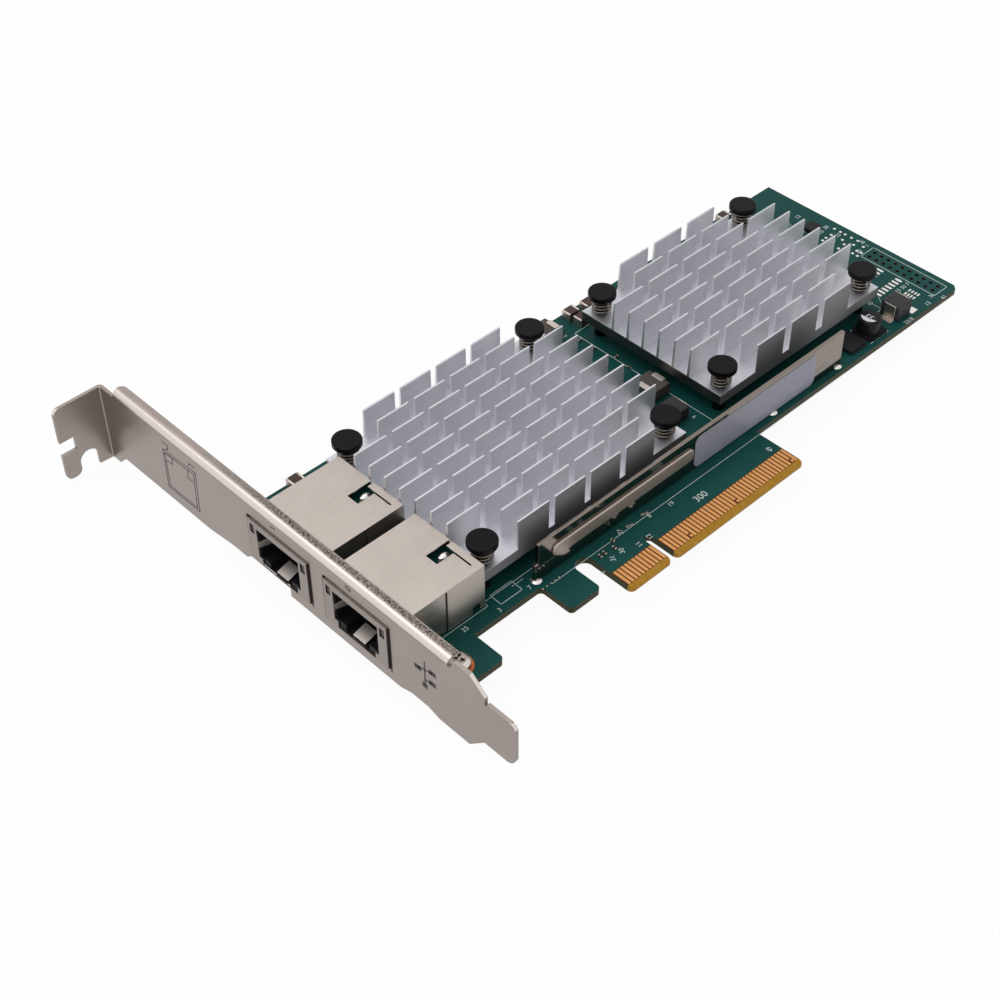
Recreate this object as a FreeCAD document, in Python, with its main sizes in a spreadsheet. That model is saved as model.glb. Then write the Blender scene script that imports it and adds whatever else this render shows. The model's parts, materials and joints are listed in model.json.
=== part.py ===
import FreeCAD, Part
import math
import os
import re

import Sketcher
from FreeCAD import Placement, Vector

# A two-port network interface card: a low-profile edge-connector board with a full-height bracket.
# Frame: X from the bracket to the far end, Y from the connector to the long top edge, Z up from the
# board. The origin is on the connector's bottom edge, in the middle of its key notch, on the board's
# component side. Lengths are in millimetres.

doc = FreeCAD.newDocument("NetworkCard")
sheet = doc.addObject("Spreadsheet::Sheet", "Sizes")

# ---------------------------------------------------------------------------------------------
# Driving dimensions. Each is a cell of the sheet "Sizes", named by its alias.
# ---------------------------------------------------------------------------------------------
BOARD_SIZES = {
    "board_thickness": 1.57,
    "board_left": -57.3,
    "board_right": 110.05,
    "board_long_edge": 68.9,
    "board_low_edge": 12.75,
    "screw_tab_right": -41.9,
    "screw_tab_low": 4.56,
    "hook_left": -24.3,
    "hook_right": -16.2,
    "hook_low": 4.5,
    "tongue_left": -12.15,
    "tongue_right": 39.15,
    "key_half_width": 0.95,
    "key_depth": 8.0,
    "bevel_depth": 1.3,
    "bevel_height": 0.47,
    "board_corner": 1.0,
    "inner_corner": 0.3,
    "slot_round": 1.9,
    "tongue_corner": 0.9,
    "contact_pitch": 1.0,
    "contact_width": 0.7,
    "contact_low": 1.35,
    "contact_high": 5.6,
    "contact_thickness": 0.05,
    "contact_short": 1.2,
    "first_contact": -11.5,
    "contacts_before_key": 11,
    "contacts_after_key": 38,
    "header_pitch": 2.0,
    "header_columns": 10,
    "header_rows": 2,
    "header_first_x": 104.99,
    "header_first_y": 16.11,
    "header_hole": 0.9,
}
BRACKET_SIZES = {
    "sheet": 0.76,
    "bracket_face": -58.75,
    "tab_face": 105.98,
    "tab_reach": 11.35,
    "tab_top": 13.95,
    "tab_low": -5.35,
    "tab_lift": 0.2,
    "tab_corner": 1.5,
    "flange_low": -2.8,
    "flange_top": 16.5,
    "lip_top": 15.67,
    "lip_reach": 2.85,
    "lip_bend": 1.7,
    "lip_start": 101.4,
    "lip_end": 1.5,
    "foot_start": -7.8,
    "foot_tip": -15.6,
    "foot_low": 1.1,
    "foot_top": 12.2,
    "foot_low_corner": 2.4,
    "foot_top_corner": 1.6,
    "screw_slot": 4.4,
    "screw_slot_x": -64.2,
    "screw_slot_top": -0.1,
    "side_slot_low": 1.75,
    "side_slot_top": 5.2,
    "side_slot_depth": 3.5,
    "port_open_width": 18.2,
    "port_open_low": 0.04,
    "port_open_top": 11.65,
    "port_open_corner": 0.8,
    "relief_low_y": 46.4,
    "relief_high_y": 60.6,
    "ear_width": 7.6,
    "ear_reach": 14.2,
    "ear_low_y": 9.3,
    "ear_high_y": 64.4,
    "ear_screw_x": -49.2,
    "ear_hole": 2.6,
    "screw_thread": 2.5,
    "screw_head": 4.8,
    "screw_head_height": 1.9,
    "screw_below": 3.6,
}
PORT_SIZES = {
    "port_0_y": 26.15,
    "port_pitch": 22.52,
    "port_nose": 0.42,
    "port_back": -35.45,
    "port_half": 9.62,
    "port_set_in": 0.33,
    "port_seam": -44.9,
    "nose_half": 8.8,
    "shield_top": 11.12,
    "shield_sheet": 0.25,
    "shield_low": 0.15,
    "plug_half": 5.95,
    "plug_low": 2.35,
    "plug_top": 9.45,
    "plug_depth": 13.4,
    "latch_half": 3.3,
    "latch_low": 0.75,
    "face_half": 6.3,
    "lamp_offset": 7.55,
    "lamp_width": 1.35,
    "lamp_low": 7.75,
    "lamp_top": 10.15,
    "stop_half": 1.6,
    "stop_reach": 3.75,
    "finger_low": 4.3,
    "finger_top": 6.1,
    "finger_reach": 3.0,
    "finger_lean": 0.8,
    "window_left": -41.6,
    "window_right": -37.45,
    "window_low": -3.25,
    "window_high": -0.15,
    "window_slot": 0.4,
    "window_slot_end": -7.9,
    "window_gap": 0.7,
    "foot_cut_left": -38.6,
    "foot_cut_right": -36.7,
    "foot_cut_height": 1.8,
    "spring_pitch": 1.016,
    "spring_width": 0.42,
    "spring_thickness": 0.3,
    "spring_count": 8,
    "housing_back": -45.9,
    "inner_board_low": 7.9,
    "inner_board_thickness": 0.8,
    "pin_side": 0.5,
    "pin_hole": 0.95,
    "pin_rows": 2,
    "pin_columns": 6,
    "pin_pitch": 2.03,
    "pin_row_x": -38.2,
    "pin_row_pitch": 3.0,
    "pin_below": 1.1,
    "tail_width": 1.2,
    "tail_x": -52.5,
    "tail_gap": 0.25,
    "fit_gap": 0.05,
}
HEATSINK_SIZES = {
    "near_left": -35.1,
    "near_low": 18.1,
    "near_column_pitch": 9.9,
    "near_columns": 6,
    "near_fin_pitch": 4.44,
    "near_rows": 11,
    "near_fin_thickness": 0.75,
    "near_base_low": 4.3,
    "near_base_top": 6.8,
    "near_fin_top": 14.1,
    "near_cut": 1.6,
    "near_corner_rows": 2,
    "near_inset": 3.4,
    "near_inset_y": 3.0,
    "far_left": 36.6,
    "far_low": 21.0,
    "far_column_pitch": 11.1,
    "far_columns": 5,
    "far_fin_pitch": 4.38,
    "far_rows": 10,
    "far_fin_thickness": 0.75,
    "far_base_low": 3.8,
    "far_base_top": 6.3,
    "far_fin_top": 13.5,
    "far_cut": 2.2,
    "far_corner_rows": 2,
    "far_inset": 3.2,
    "far_inset_y": 2.75,
    "pedestal_side": 21.0,
    "chip_side": 19.0,
    "chip_substrate": 1.0,
    "chip_mould": 0.9,
    "ball_height": 0.45,
    "pad_thickness": 0.35,
    "push_head": 6.3,
    "push_head_height": 1.4,
    "push_neck": 3.4,
    "push_neck_height": 0.9,
    "push_shaft": 2.6,
    "push_clear": 0.3,
    "push_barb": 3.5,
    "push_barb_height": 2.3,
    "push_above_base": 5.3,
    "push_slit": 0.5,
    "coil_diameter": 4.5,
    "coil_wire": 0.45,
    "coil_turns": 4.0,
    "coil_seat": 0.06,
}
RAIL_SIZES = {
    "rail_face": 14.15,
    "rail_thickness": 0.9,
    "rail_left": -23.6,
    "rail_right": 68.7,
    "rail_low": 0.3,
    "rail_top": 9.46,
    "rib_left": -20.0,
    "rib_right": 20.4,
    "rib_low": 3.7,
    "rib_top": 7.0,
    "rib_height": 0.5,
    "leg_width": 1.2,
    "leg_clear": 0.3,
    "leg_below": 0.9,
    "leg_left": -23.8,
    "leg_middle": 46.4,
    "leg_right": 68.1,
    "leg_shoulder": 4.4,
    "label_left": 21.0,
    "label_right": 59.5,
    "label_low": 0.4,
    "label_top": 8.7,
    "label_thickness": 0.1,
}
PART_SIZES = {
    "can_x": 82.3,
    "can_y": 17.0,
    "can_diameter": 5.3,
    "can_height": 4.5,
    "can_base_side": 6.0,
    "can_base_height": 0.9,
    "can_base_corner": 1.2,
    "coil_block_x": 92.0,
    "coil_block_y": 16.95,
    "coil_block_length": 4.7,
    "coil_block_width": 4.9,
    "coil_block_height": 3.7,
    "clip_thickness": 0.2,
    "clip_width": 3.0,
    "clip_foot": 1.2,
    "brown_length": 5.4,
    "brown_width": 6.0,
    "brown_height": 3.0,
    "black_x": 30.1,
    "black_y": 28.2,
    "black_length": 5.0,
    "black_width": 5.0,
    "black_height": 3.0,
    "transistor_x": 75.9,
    "transistor_y": 17.3,
    "transistor_length": 5.6,
    "transistor_width": 5.4,
    "transistor_height": 1.05,
    "transistor_lead": 0.45,
    "lead_pitch": 1.27,
    "diode_x": 103.75,
    "diode_y": 50.4,
    "diode_length": 3.6,
    "diode_width": 2.6,
    "diode_height": 1.15,
    "large_cap_length": 3.2,
    "large_cap_width": 2.5,
    "large_cap_height": 2.2,
    "large_cap_end": 0.5,
    "small_cap_length": 1.0,
    "small_cap_width": 0.55,
    "small_cap_height": 0.5,
    "small_cap_end": 0.22,
    "memory_x": 6.0,
    "memory_y": 22.0,
    "memory_length": 4.9,
    "memory_width": 3.9,
    "memory_height": 1.5,
    "crystal_x": 96.0,
    "crystal_y": 40.0,
    "crystal_length": 3.2,
    "crystal_width": 2.5,
    "crystal_height": 0.7,
}
GROUPS = (BOARD_SIZES, BRACKET_SIZES, PORT_SIZES, HEATSINK_SIZES, RAIL_SIZES, PART_SIZES)
SIZES = {alias: value for group in GROUPS for alias, value in group.items()}
for row, (alias, value) in enumerate(SIZES.items(), start=1):
    sheet.set(f"A{row}", alias)
    sheet.set(f"B{row}", str(value))
    sheet.setAlias(f"B{row}", alias)
doc.recompute()


# ---------------------------------------------------------------------------------------------
# Helpers
# ---------------------------------------------------------------------------------------------
def size(alias):
    """The number in the sheet's cell with this alias."""
    return float(getattr(sheet, alias))


def tie(item, prop, formula):
    """Bind a property to a formula written with the sheet's aliases."""
    item.setExpression(prop, re.sub(r"[a-z]\w*", lambda word: "Sizes." + word.group(0), formula))


def new_body(label):
    body = doc.addObject("PartDesign::Body", label)
    body.Label = label
    return body


def new_sketch(body, name, role, offset="0"):
    """A sketch on one of the body's own origin planes, moved along the plane's normal."""
    sketch = body.newObject("Sketcher::SketchObject", f"{body.Name}_{name}")
    plane = next(item for item in body.Origin.OriginFeatures if item.Role == role)
    sketch.AttachmentSupport = [(plane, "")]
    sketch.MapMode = "FlatFace"
    tie(sketch, "AttachmentOffset.Base.z", offset)
    return sketch


def add_outline(sketch, points):
    """A closed outline. Each corner is a pair of formulas, its place along the sketch's axes."""
    count = len(points)
    corners = []
    for index in range(count):
        turn = 2 * math.pi * index / count
        corners.append(Vector(10 * math.cos(turn), 10 * math.sin(turn), 0))
    first = sketch.GeometryCount
    for index in range(count):
        sketch.addGeometry(Part.LineSegment(corners[index], corners[(index + 1) % count]))
    for index in range(count):
        after = first + (index + 1) % count
        sketch.addConstraint(Sketcher.Constraint("Coincident", first + index, 2, after, 1))
    for index, (across, up) in enumerate(points):
        line = first + index
        spot = corners[index]
        width = sketch.addConstraint(Sketcher.Constraint("DistanceX", -1, 1, line, 1, spot.x))
        height = sketch.addConstraint(Sketcher.Constraint("DistanceY", -1, 1, line, 1, spot.y))
        tie(sketch, f"Constraints[{width}]", across)
        tie(sketch, f"Constraints[{height}]", up)


def add_rectangle(sketch, left, low, right, top):
    add_outline(sketch, [(left, low), (right, low), (right, top), (left, top)])


def add_circle(sketch, across, up, diameter):
    spot = sketch.addGeometry(Part.Circle(Vector(5, 5, 0), Vector(0, 0, 1), 2))
    width = sketch.addConstraint(Sketcher.Constraint("DistanceX", -1, 1, spot, 3, 5))
    height = sketch.addConstraint(Sketcher.Constraint("DistanceY", -1, 1, spot, 3, 5))
    bore = sketch.addConstraint(Sketcher.Constraint("Diameter", spot, 4))
    tie(sketch, f"Constraints[{width}]", across)
    tie(sketch, f"Constraints[{height}]", up)
    tie(sketch, f"Constraints[{bore}]", diameter)


def add_octagon(sketch, across, up, width):
    """A small plated hole, eight-sided, this wide across its flats."""
    half = f"({width}) / 2"
    part = f"({width}) * {math.tan(math.pi / 8) / 2:.4f}"
    add_outline(sketch, [
        (f"{across} - {half}", f"{up} - {part}"), (f"{across} - {part}", f"{up} - {half}"),
        (f"{across} + {part}", f"{up} - {half}"), (f"{across} + {half}", f"{up} - {part}"),
        (f"{across} + {half}", f"{up} + {part}"), (f"{across} + {part}", f"{up} + {half}"),
        (f"{across} - {part}", f"{up} + {half}"), (f"{across} - {half}", f"{up} + {part}"),
    ])


def pad(sketch, length, reversed_way=False):
    """Add material from the sketch along its normal."""
    body = sketch.getParentGeoFeatureGroup()
    feature = body.newObject("PartDesign::Pad", sketch.Name + "_pad")
    feature.Profile = sketch
    feature.Reversed = reversed_way
    tie(feature, "Length", length)
    return feature


def pocket(sketch, length, reversed_way=False):
    """Cut material from the sketch against its normal, or along it if reversed."""
    body = sketch.getParentGeoFeatureGroup()
    feature = body.newObject("PartDesign::Pocket", sketch.Name + "_pocket")
    feature.Profile = sketch
    feature.Reversed = reversed_way
    tie(feature, "Length", length)
    return feature


def repeat(feature, role, length, count):
    """Repeat one feature along an origin axis of its body: the whole length, and how many."""
    body = feature.getParentGeoFeatureGroup()
    axis = next(item for item in body.Origin.OriginFeatures if item.Role == role)
    pattern = body.newObject("PartDesign::LinearPattern", feature.Name + "_row")
    pattern.Originals = [feature]
    pattern.Direction = (axis, [""])
    tie(pattern, "Length", length)
    tie(pattern, "Occurrences", count)
    body.Tip = pattern
    return pattern


def dress(body, kind, prop, length, wanted):
    """Fillet or chamfer the edges of the body's last feature for which wanted(edge) is true."""
    doc.recompute()
    base = body.Tip
    names = [f"Edge{i}" for i, edge in enumerate(base.Shape.Edges, start=1) if wanted(edge)]
    feature = body.newObject("PartDesign::" + kind, f"{body.Name}_{kind}_{len(body.Group)}")
    feature.Base = (base, names)
    tie(feature, prop, length)
    return feature


def fillet(body, radius, wanted):
    return dress(body, "Fillet", "Radius", radius, wanted)


def chamfer(body, length, wanted):
    return dress(body, "Chamfer", "Size", length, wanted)


def is_along(edge, axis):
    """Whether an edge is straight and runs along this axis."""
    return isinstance(edge.Curve, Part.Line) and abs(edge.tangentAt(edge.FirstParameter).dot(axis)) > 0.999


def is_at(edge, **place):
    """Whether an edge's middle has these coordinates, given as x, y or z."""
    middle = edge.CenterOfMass
    return all(abs(getattr(middle, name) - value) < 0.05 for name, value in place.items())


def code_part(label, shape):
    """A sub-part whose shape comes from Part's own functions."""
    feature = doc.addObject("Part::Feature", label)
    feature.Label = label
    feature.Shape = shape
    feature.Placement = Placement()
    return feature


def block(length, width, height, x, y, z):
    """A box centred on x and y, standing on z."""
    return Part.makeBox(length, width, height, Vector(x - length / 2, y - width / 2, z))


AXIS_X = Vector(1, 0, 0)
AXIS_Y = Vector(0, 1, 0)
AXIS_Z = Vector(0, 0, 1)

# ---------------------------------------------------------------------------------------------
# Places worked out from the driving dimensions
# ---------------------------------------------------------------------------------------------
near_length = size("near_column_pitch") * size("near_columns") - size("near_cut")
near_width = size("near_fin_pitch") * (size("near_rows") - 1) + size("near_fin_thickness")
far_length = size("far_column_pitch") * size("far_columns") - size("far_cut")
far_width = size("far_fin_pitch") * (size("far_rows") - 1) + size("far_fin_thickness")
heatsinks = {
    "near": (size("near_left"), size("near_low"), near_length, near_width),
    "far": (size("far_left"), size("far_low"), far_length, far_width),
}
port_centres = [size("port_0_y"), size("port_0_y") + size("port_pitch")]


def push_pin_places(name):
    left, low, length, width = heatsinks[name]
    inset = size(f"{name}_inset")
    inset_y = size(f"{name}_inset_y")
    xs = (left + inset, left + length - inset)
    ys = (low + inset_y, low + width - inset_y)
    return [(x, y) for x in xs for y in ys]


def port_pin_places(centre):
    places = []
    for row in range(int(size("pin_rows"))):
        for column in range(int(size("pin_columns"))):
            x = size("pin_row_x") - row * size("pin_row_pitch")
            offset = column - (size("pin_columns") - 1) / 2
            places.append((x, centre + offset * size("pin_pitch") + (row - 0.5)))
    return places


# ---------------------------------------------------------------------------------------------
# Circuit board: one outline with the connector tongue, its key notch, the hook beside it and the
# screw tab, then the plated holes and the bevel that leads the tongue into its socket.
# ---------------------------------------------------------------------------------------------
board = new_body("circuit_board")
outline = new_sketch(board, "outline", "XY_Plane")
add_outline(outline, [
    ("board_left", "screw_tab_low"),
    ("screw_tab_right", "screw_tab_low"),
    ("screw_tab_right", "board_low_edge"),
    ("hook_left", "board_low_edge"),
    ("hook_left", "hook_low"),
    ("hook_right", "hook_low"),
    ("hook_right", "board_low_edge"),
    ("tongue_left", "board_low_edge"),
    ("tongue_left", "0"),
    ("tongue_right", "0"),
    ("tongue_right", "board_low_edge"),
    ("board_right - board_corner", "board_low_edge"),
    ("board_right", "board_low_edge + board_corner"),
    ("board_right", "board_long_edge"),
    ("board_left", "board_long_edge"),
])
pad(outline, "board_thickness", reversed_way=True)
key = new_sketch(board, "key", "XY_Plane")
add_rectangle(key, "-key_half_width", "-1", "key_half_width", "key_depth")
pocket(key, "board_thickness")
fillet(board, "tongue_corner", lambda edge: is_along(edge, AXIS_Z) and is_at(edge, y=0))
bevels = new_sketch(board, "bevels", "YZ_Plane", "tongue_left - 1")
add_outline(bevels, [("-1", "1"), ("-1", "-bevel_height"), ("0", "-bevel_height"), ("bevel_depth", "0"),
                     ("bevel_depth", "1")])
add_outline(bevels, [("-1", "-board_thickness - 1"), ("-1", "bevel_height - board_thickness"),
                     ("0", "bevel_height - board_thickness"), ("bevel_depth", "-board_thickness"),
                     ("bevel_depth", "-board_thickness - 1")])
pocket(bevels, "tongue_right - tongue_left + 2", reversed_way=True)
holes = new_sketch(board, "holes", "XY_Plane")
for name in heatsinks:
    across = (f"{name}_left + {name}_inset",
              f"{name}_left + {name}_column_pitch * {name}_columns - {name}_cut - {name}_inset")
    upward = (f"{name}_low + {name}_inset_y",
              f"{name}_low + {name}_fin_pitch * ({name}_rows - 1) + {name}_fin_thickness - {name}_inset_y")
    for x in across:
        for y in upward:
            add_circle(holes, x, y, "push_shaft + push_clear")
for ear in ("ear_low_y", "ear_high_y"):
    add_circle(holes, "ear_screw_x", ear, "screw_thread + push_clear")
pocket(holes, "board_thickness")
header = new_sketch(board, "header", "XY_Plane")
for row in range(int(size("header_rows"))):
    add_octagon(header, f"header_first_x + {row} * header_pitch", "header_first_y", "header_hole")
header_holes = pocket(header, "board_thickness")
repeat(header_holes, "Y_Axis", "(header_columns - 1) * header_pitch", "header_columns")
legs_holes = new_sketch(board, "leg_holes", "XY_Plane")
for x in ("leg_left", "leg_middle", "leg_right"):
    add_octagon(legs_holes, x, "rail_face + rail_thickness / 2", "leg_width + 2 * leg_clear")
for port in range(2):
    for side in ("-1", "1"):
        tail = f"port_0_y + {port} * port_pitch + {side} * (port_half - port_set_in - shield_sheet / 2)"
        add_octagon(legs_holes, "tail_x", tail, "tail_width + 2 * tail_gap")
pocket(legs_holes, "board_thickness")
for port in range(2):
    first_pins = new_sketch(board, f"port_{port}_pins", "XY_Plane")
    for row in range(int(size("pin_rows"))):
        x = f"pin_row_x - {row} * pin_row_pitch"
        y = f"port_0_y + {port} * port_pitch - (pin_columns - 1) / 2 * pin_pitch + {row - 0.5}"
        add_rectangle(first_pins, f"{x} - pin_hole / 2", f"{y} - pin_hole / 2",
                      f"{x} + pin_hole / 2", f"{y} + pin_hole / 2")
    pin_holes = pocket(first_pins, "board_thickness")
    repeat(pin_holes, "Y_Axis", "(pin_columns - 1) * pin_pitch", "pin_columns")
fillet(board, "key_half_width * 0.98", lambda edge: is_along(edge, AXIS_Z) and is_at(edge, y=size("key_depth")))
fillet(board, "slot_round", lambda edge: is_along(edge, AXIS_Z) and (
    is_at(edge, x=size("hook_right"), y=size("board_low_edge"))
    or is_at(edge, x=size("tongue_left"), y=size("board_low_edge"))))
fillet(board, "board_corner", lambda edge: is_along(edge, AXIS_Z) and (
    is_at(edge, x=size("hook_left"), y=size("board_low_edge"))
    or is_at(edge, y=size("hook_low"))
    or is_at(edge, x=size("screw_tab_right"), y=size("screw_tab_low"))))
fillet(board, "inner_corner", lambda edge: is_along(edge, AXIS_Z) and is_at(
    edge, x=size("screw_tab_right"), y=size("board_low_edge")))

# ---------------------------------------------------------------------------------------------
# Edge contacts: gold fingers on both sides of the tongue, with the key notch between two runs.
# Three fingers on the component side start late, because they sense that the card is seated.
# ---------------------------------------------------------------------------------------------
fingers = []
before_key = int(size("contacts_before_key"))
finger_count = before_key + int(size("contacts_after_key"))
late_fingers = (16, 30, 47)
for index in range(finger_count):
    skipped = 2 if index >= before_key else 0
    x = size("first_contact") + (index + skipped) * size("contact_pitch")
    for on_top in (True, False):
        low = size("contact_low")
        if on_top and index in late_fingers:
            low += size("contact_short")
        z = 0 if on_top else -size("board_thickness") - size("contact_thickness")
        corner = Vector(x - size("contact_width") / 2, low, z)
        fingers.append(Part.makeBox(size("contact_width"), size("contact_high") - low,
                                    size("contact_thickness"), corner))
code_part("edge_contacts", Part.makeCompound(fingers))

# ---------------------------------------------------------------------------------------------
# Bracket: one folded sheet. Its plan is an L of the face and the mounting tab; the foot, the lip,
# the two port openings and the two ears under the board are shaped from it.
# ---------------------------------------------------------------------------------------------
bracket = new_body("bracket")
plan = new_sketch(bracket, "plan", "XY_Plane", "tab_low")
add_outline(plan, [
    ("bracket_face", "tab_face"),
    ("bracket_face", "foot_tip"),
    ("bracket_face + sheet", "foot_tip"),
    ("bracket_face + sheet", "tab_face + sheet"),
    ("bracket_face - tab_reach", "tab_face + sheet"),
    ("bracket_face - tab_reach", "tab_face"),
])
pad(plan, "flange_top - tab_low")
fillet(bracket, "0.4 * sheet", lambda edge: is_along(edge, AXIS_Z) and is_at(
    edge, x=size("bracket_face"), y=size("tab_face")))
fillet(bracket, "1.4 * sheet", lambda edge: is_along(edge, AXIS_Z) and is_at(
    edge, x=size("bracket_face") + size("sheet"), y=size("tab_face") + size("sheet")))
flange = new_sketch(bracket, "flange", "YZ_Plane", "bracket_face - 1")
add_rectangle(flange, "foot_tip - 5", "tab_low - 5", "tab_face + 5", "flange_top + 5")
add_outline(flange, [
    ("tab_face + 4", "tab_low"),
    ("tab_face - 2.6", "tab_low"),
    ("lip_start - 0.4", "flange_low"),
    ("ear_high_y + ear_width", "flange_low"),
    ("ear_high_y + ear_width / 2", "-board_thickness - sheet"),
    ("relief_high_y", "-board_thickness - sheet"),
    ("port_0_y + port_pitch + port_open_width / 2 + 0.6", "port_open_low - 0.7"),
    ("port_0_y + port_pitch + port_open_width / 2", "port_open_low"),
    ("relief_low_y", "port_open_low"),
    ("relief_low_y", "flange_low"),
    ("ear_low_y + ear_width / 2 + 1.5", "flange_low"),
    ("ear_low_y + ear_width / 2", "-board_thickness - sheet"),
    ("ear_low_y - ear_width / 2", "-board_thickness - sheet"),
    ("ear_low_y - ear_width / 2 - 1.5", "flange_low"),
    ("foot_start + 3.9", "flange_low"),
    ("foot_start", "foot_low"),
    ("foot_tip - 1", "foot_low"),
    ("foot_tip - 1", "foot_top"),
    ("foot_start - 0.8", "foot_top"),
    ("foot_start - 0.6", "foot_top - 0.8"),
    ("foot_start - 0.3", "foot_top - 0.8"),
    ("foot_start - 0.3", "foot_top + 1.2"),
    ("foot_start + 2.7", "flange_top - 0.7"),
    ("foot_start + 3.5", "flange_top"),
    ("lip_end - 1.8", "flange_top"),
    ("lip_end - 0.6", "lip_top - lip_bend - 0.1"),
    ("lip_end", "lip_top - lip_bend - 0.1"),
    ("lip_end", "lip_top - sheet"),
    ("lip_start", "lip_top - sheet"),
    ("lip_start", "tab_top"),
    ("tab_face + 4", "tab_top"),
])
pocket(flange, "sheet + 2", reversed_way=True)
tab = new_sketch(bracket, "tab", "XZ_Plane", "-tab_face + 1")
add_outline(tab, [
    ("bracket_face - 0.3", "flange_top + 5"),
    ("bracket_face - tab_reach - 5", "flange_top + 5"),
    ("bracket_face - tab_reach - 5", "tab_low - 5"),
    ("bracket_face - 0.3", "tab_low - 5"),
    ("bracket_face - 0.3", "tab_low"),
    ("screw_slot_x + screw_slot / 2", "tab_low + tab_lift"),
    ("screw_slot_x + screw_slot / 2", "screw_slot_top - screw_slot / 2"),
    ("screw_slot_x - screw_slot / 2", "screw_slot_top - screw_slot / 2"),
    ("screw_slot_x - screw_slot / 2", "tab_low + tab_lift"),
    ("bracket_face - tab_reach", "tab_low + tab_lift"),
    ("bracket_face - tab_reach", "side_slot_low"),
    ("bracket_face - tab_reach + side_slot_depth", "side_slot_low"),
    ("bracket_face - tab_reach + side_slot_depth", "side_slot_top"),
    ("bracket_face - tab_reach", "side_slot_top"),
    ("bracket_face - tab_reach", "tab_top"),
    ("bracket_face - 0.3", "tab_top"),
])
pocket(tab, "sheet + 2")
slot_top = new_sketch(bracket, "slot_top", "XZ_Plane", "-tab_face + 1")
add_circle(slot_top, "screw_slot_x", "screw_slot_top - screw_slot / 2", "screw_slot")
pocket(slot_top, "sheet + 2")
openings = new_sketch(bracket, "openings", "YZ_Plane", "bracket_face - 1")
for port in range(2):
    middle = f"port_0_y + {port} * port_pitch"
    add_rectangle(openings, f"{middle} - port_open_width / 2", "port_open_low",
                  f"{middle} + port_open_width / 2", "port_open_top")
pocket(openings, "sheet + 2", reversed_way=True)
lip = new_sketch(bracket, "lip", "YZ_Plane", "bracket_face")
add_rectangle(lip, "lip_end", "lip_top - sheet", "lip_start", "lip_top")
pad(lip, "lip_reach")
fillet(bracket, "lip_bend", lambda edge: is_along(edge, AXIS_Y) and is_at(
    edge, x=size("bracket_face"), z=size("lip_top")))
fillet(bracket, "lip_bend - sheet", lambda edge: is_along(edge, AXIS_Y) and is_at(
    edge, x=size("bracket_face") + size("sheet"), z=size("lip_top") - size("sheet")))
ears = new_sketch(bracket, "ears", "XY_Plane", "-board_thickness")
for ear in ("ear_low_y", "ear_high_y"):
    add_rectangle(ears, "bracket_face + sheet / 2", f"{ear} - ear_width / 2",
                  "bracket_face + ear_reach", f"{ear} + ear_width / 2")
pad(ears, "sheet", reversed_way=True)
ear_holes = new_sketch(bracket, "ear_holes", "XY_Plane", "-board_thickness")
for ear in ("ear_low_y", "ear_high_y"):
    add_circle(ear_holes, "ear_screw_x", ear, "ear_hole")
pocket(ear_holes, "sheet")
fillet(bracket, "0.8 * sheet", lambda edge: is_along(edge, AXIS_Y) and is_at(
    edge, x=size("bracket_face"), z=-size("board_thickness") - size("sheet")))
fillet(bracket, "tab_corner", lambda edge: (
    is_along(edge, AXIS_Z) and is_at(edge, x=size("bracket_face") + size("ear_reach")))
    or (is_along(edge, AXIS_Y) and (
        is_at(edge, x=size("bracket_face") - size("tab_reach"), z=size("tab_top"))
        or is_at(edge, x=size("bracket_face") - size("tab_reach"), z=size("tab_low") + size("tab_lift"))
        or is_at(edge, x=size("screw_slot_x") - size("screw_slot") / 2,
                 z=size("tab_low") + size("tab_lift")))))
fillet(bracket, "tab_corner", lambda edge: is_along(edge, AXIS_Z) and is_at(
    edge, x=size("bracket_face") + size("lip_reach"), y=size("lip_start")))
fillet(bracket, "foot_low_corner", lambda edge: is_along(edge, AXIS_X) and is_at(
    edge, y=size("foot_tip"), z=size("foot_low")))
fillet(bracket, "foot_top_corner", lambda edge: is_along(edge, AXIS_X) and is_at(
    edge, y=size("foot_tip"), z=size("foot_top")))

# Bracket screws: pan heads on the board, threaded into the ears under it.
screws = []
for ear in ("ear_low_y", "ear_high_y"):
    centre = Vector(size("ear_screw_x"), size(ear), 0)
    head = Part.makeCylinder(size("screw_head") / 2, size("screw_head_height"), centre)
    head = head.makeChamfer(0.4 * size("screw_head_height"), [head.Edges[0]])
    length = size("screw_below")
    shank = Part.makeCylinder(size("screw_thread") / 2, length, centre - AXIS_Z * length)
    screw = head.fuse(shank)
    slot_width = 0.14 * size("screw_head")
    depth = 0.5 * size("screw_head_height")
    for turn in (0, 90):
        slot = block(0.55 * size("screw_head"), slot_width, depth + 1, 0, 0, size("screw_head_height") - depth)
        slot.rotate(Vector(), AXIS_Z, turn + 30)
        slot.translate(centre)
        screw = screw.cut(slot)
    screws.append(screw)
code_part("bracket_screws", Part.makeCompound(screws))


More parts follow.
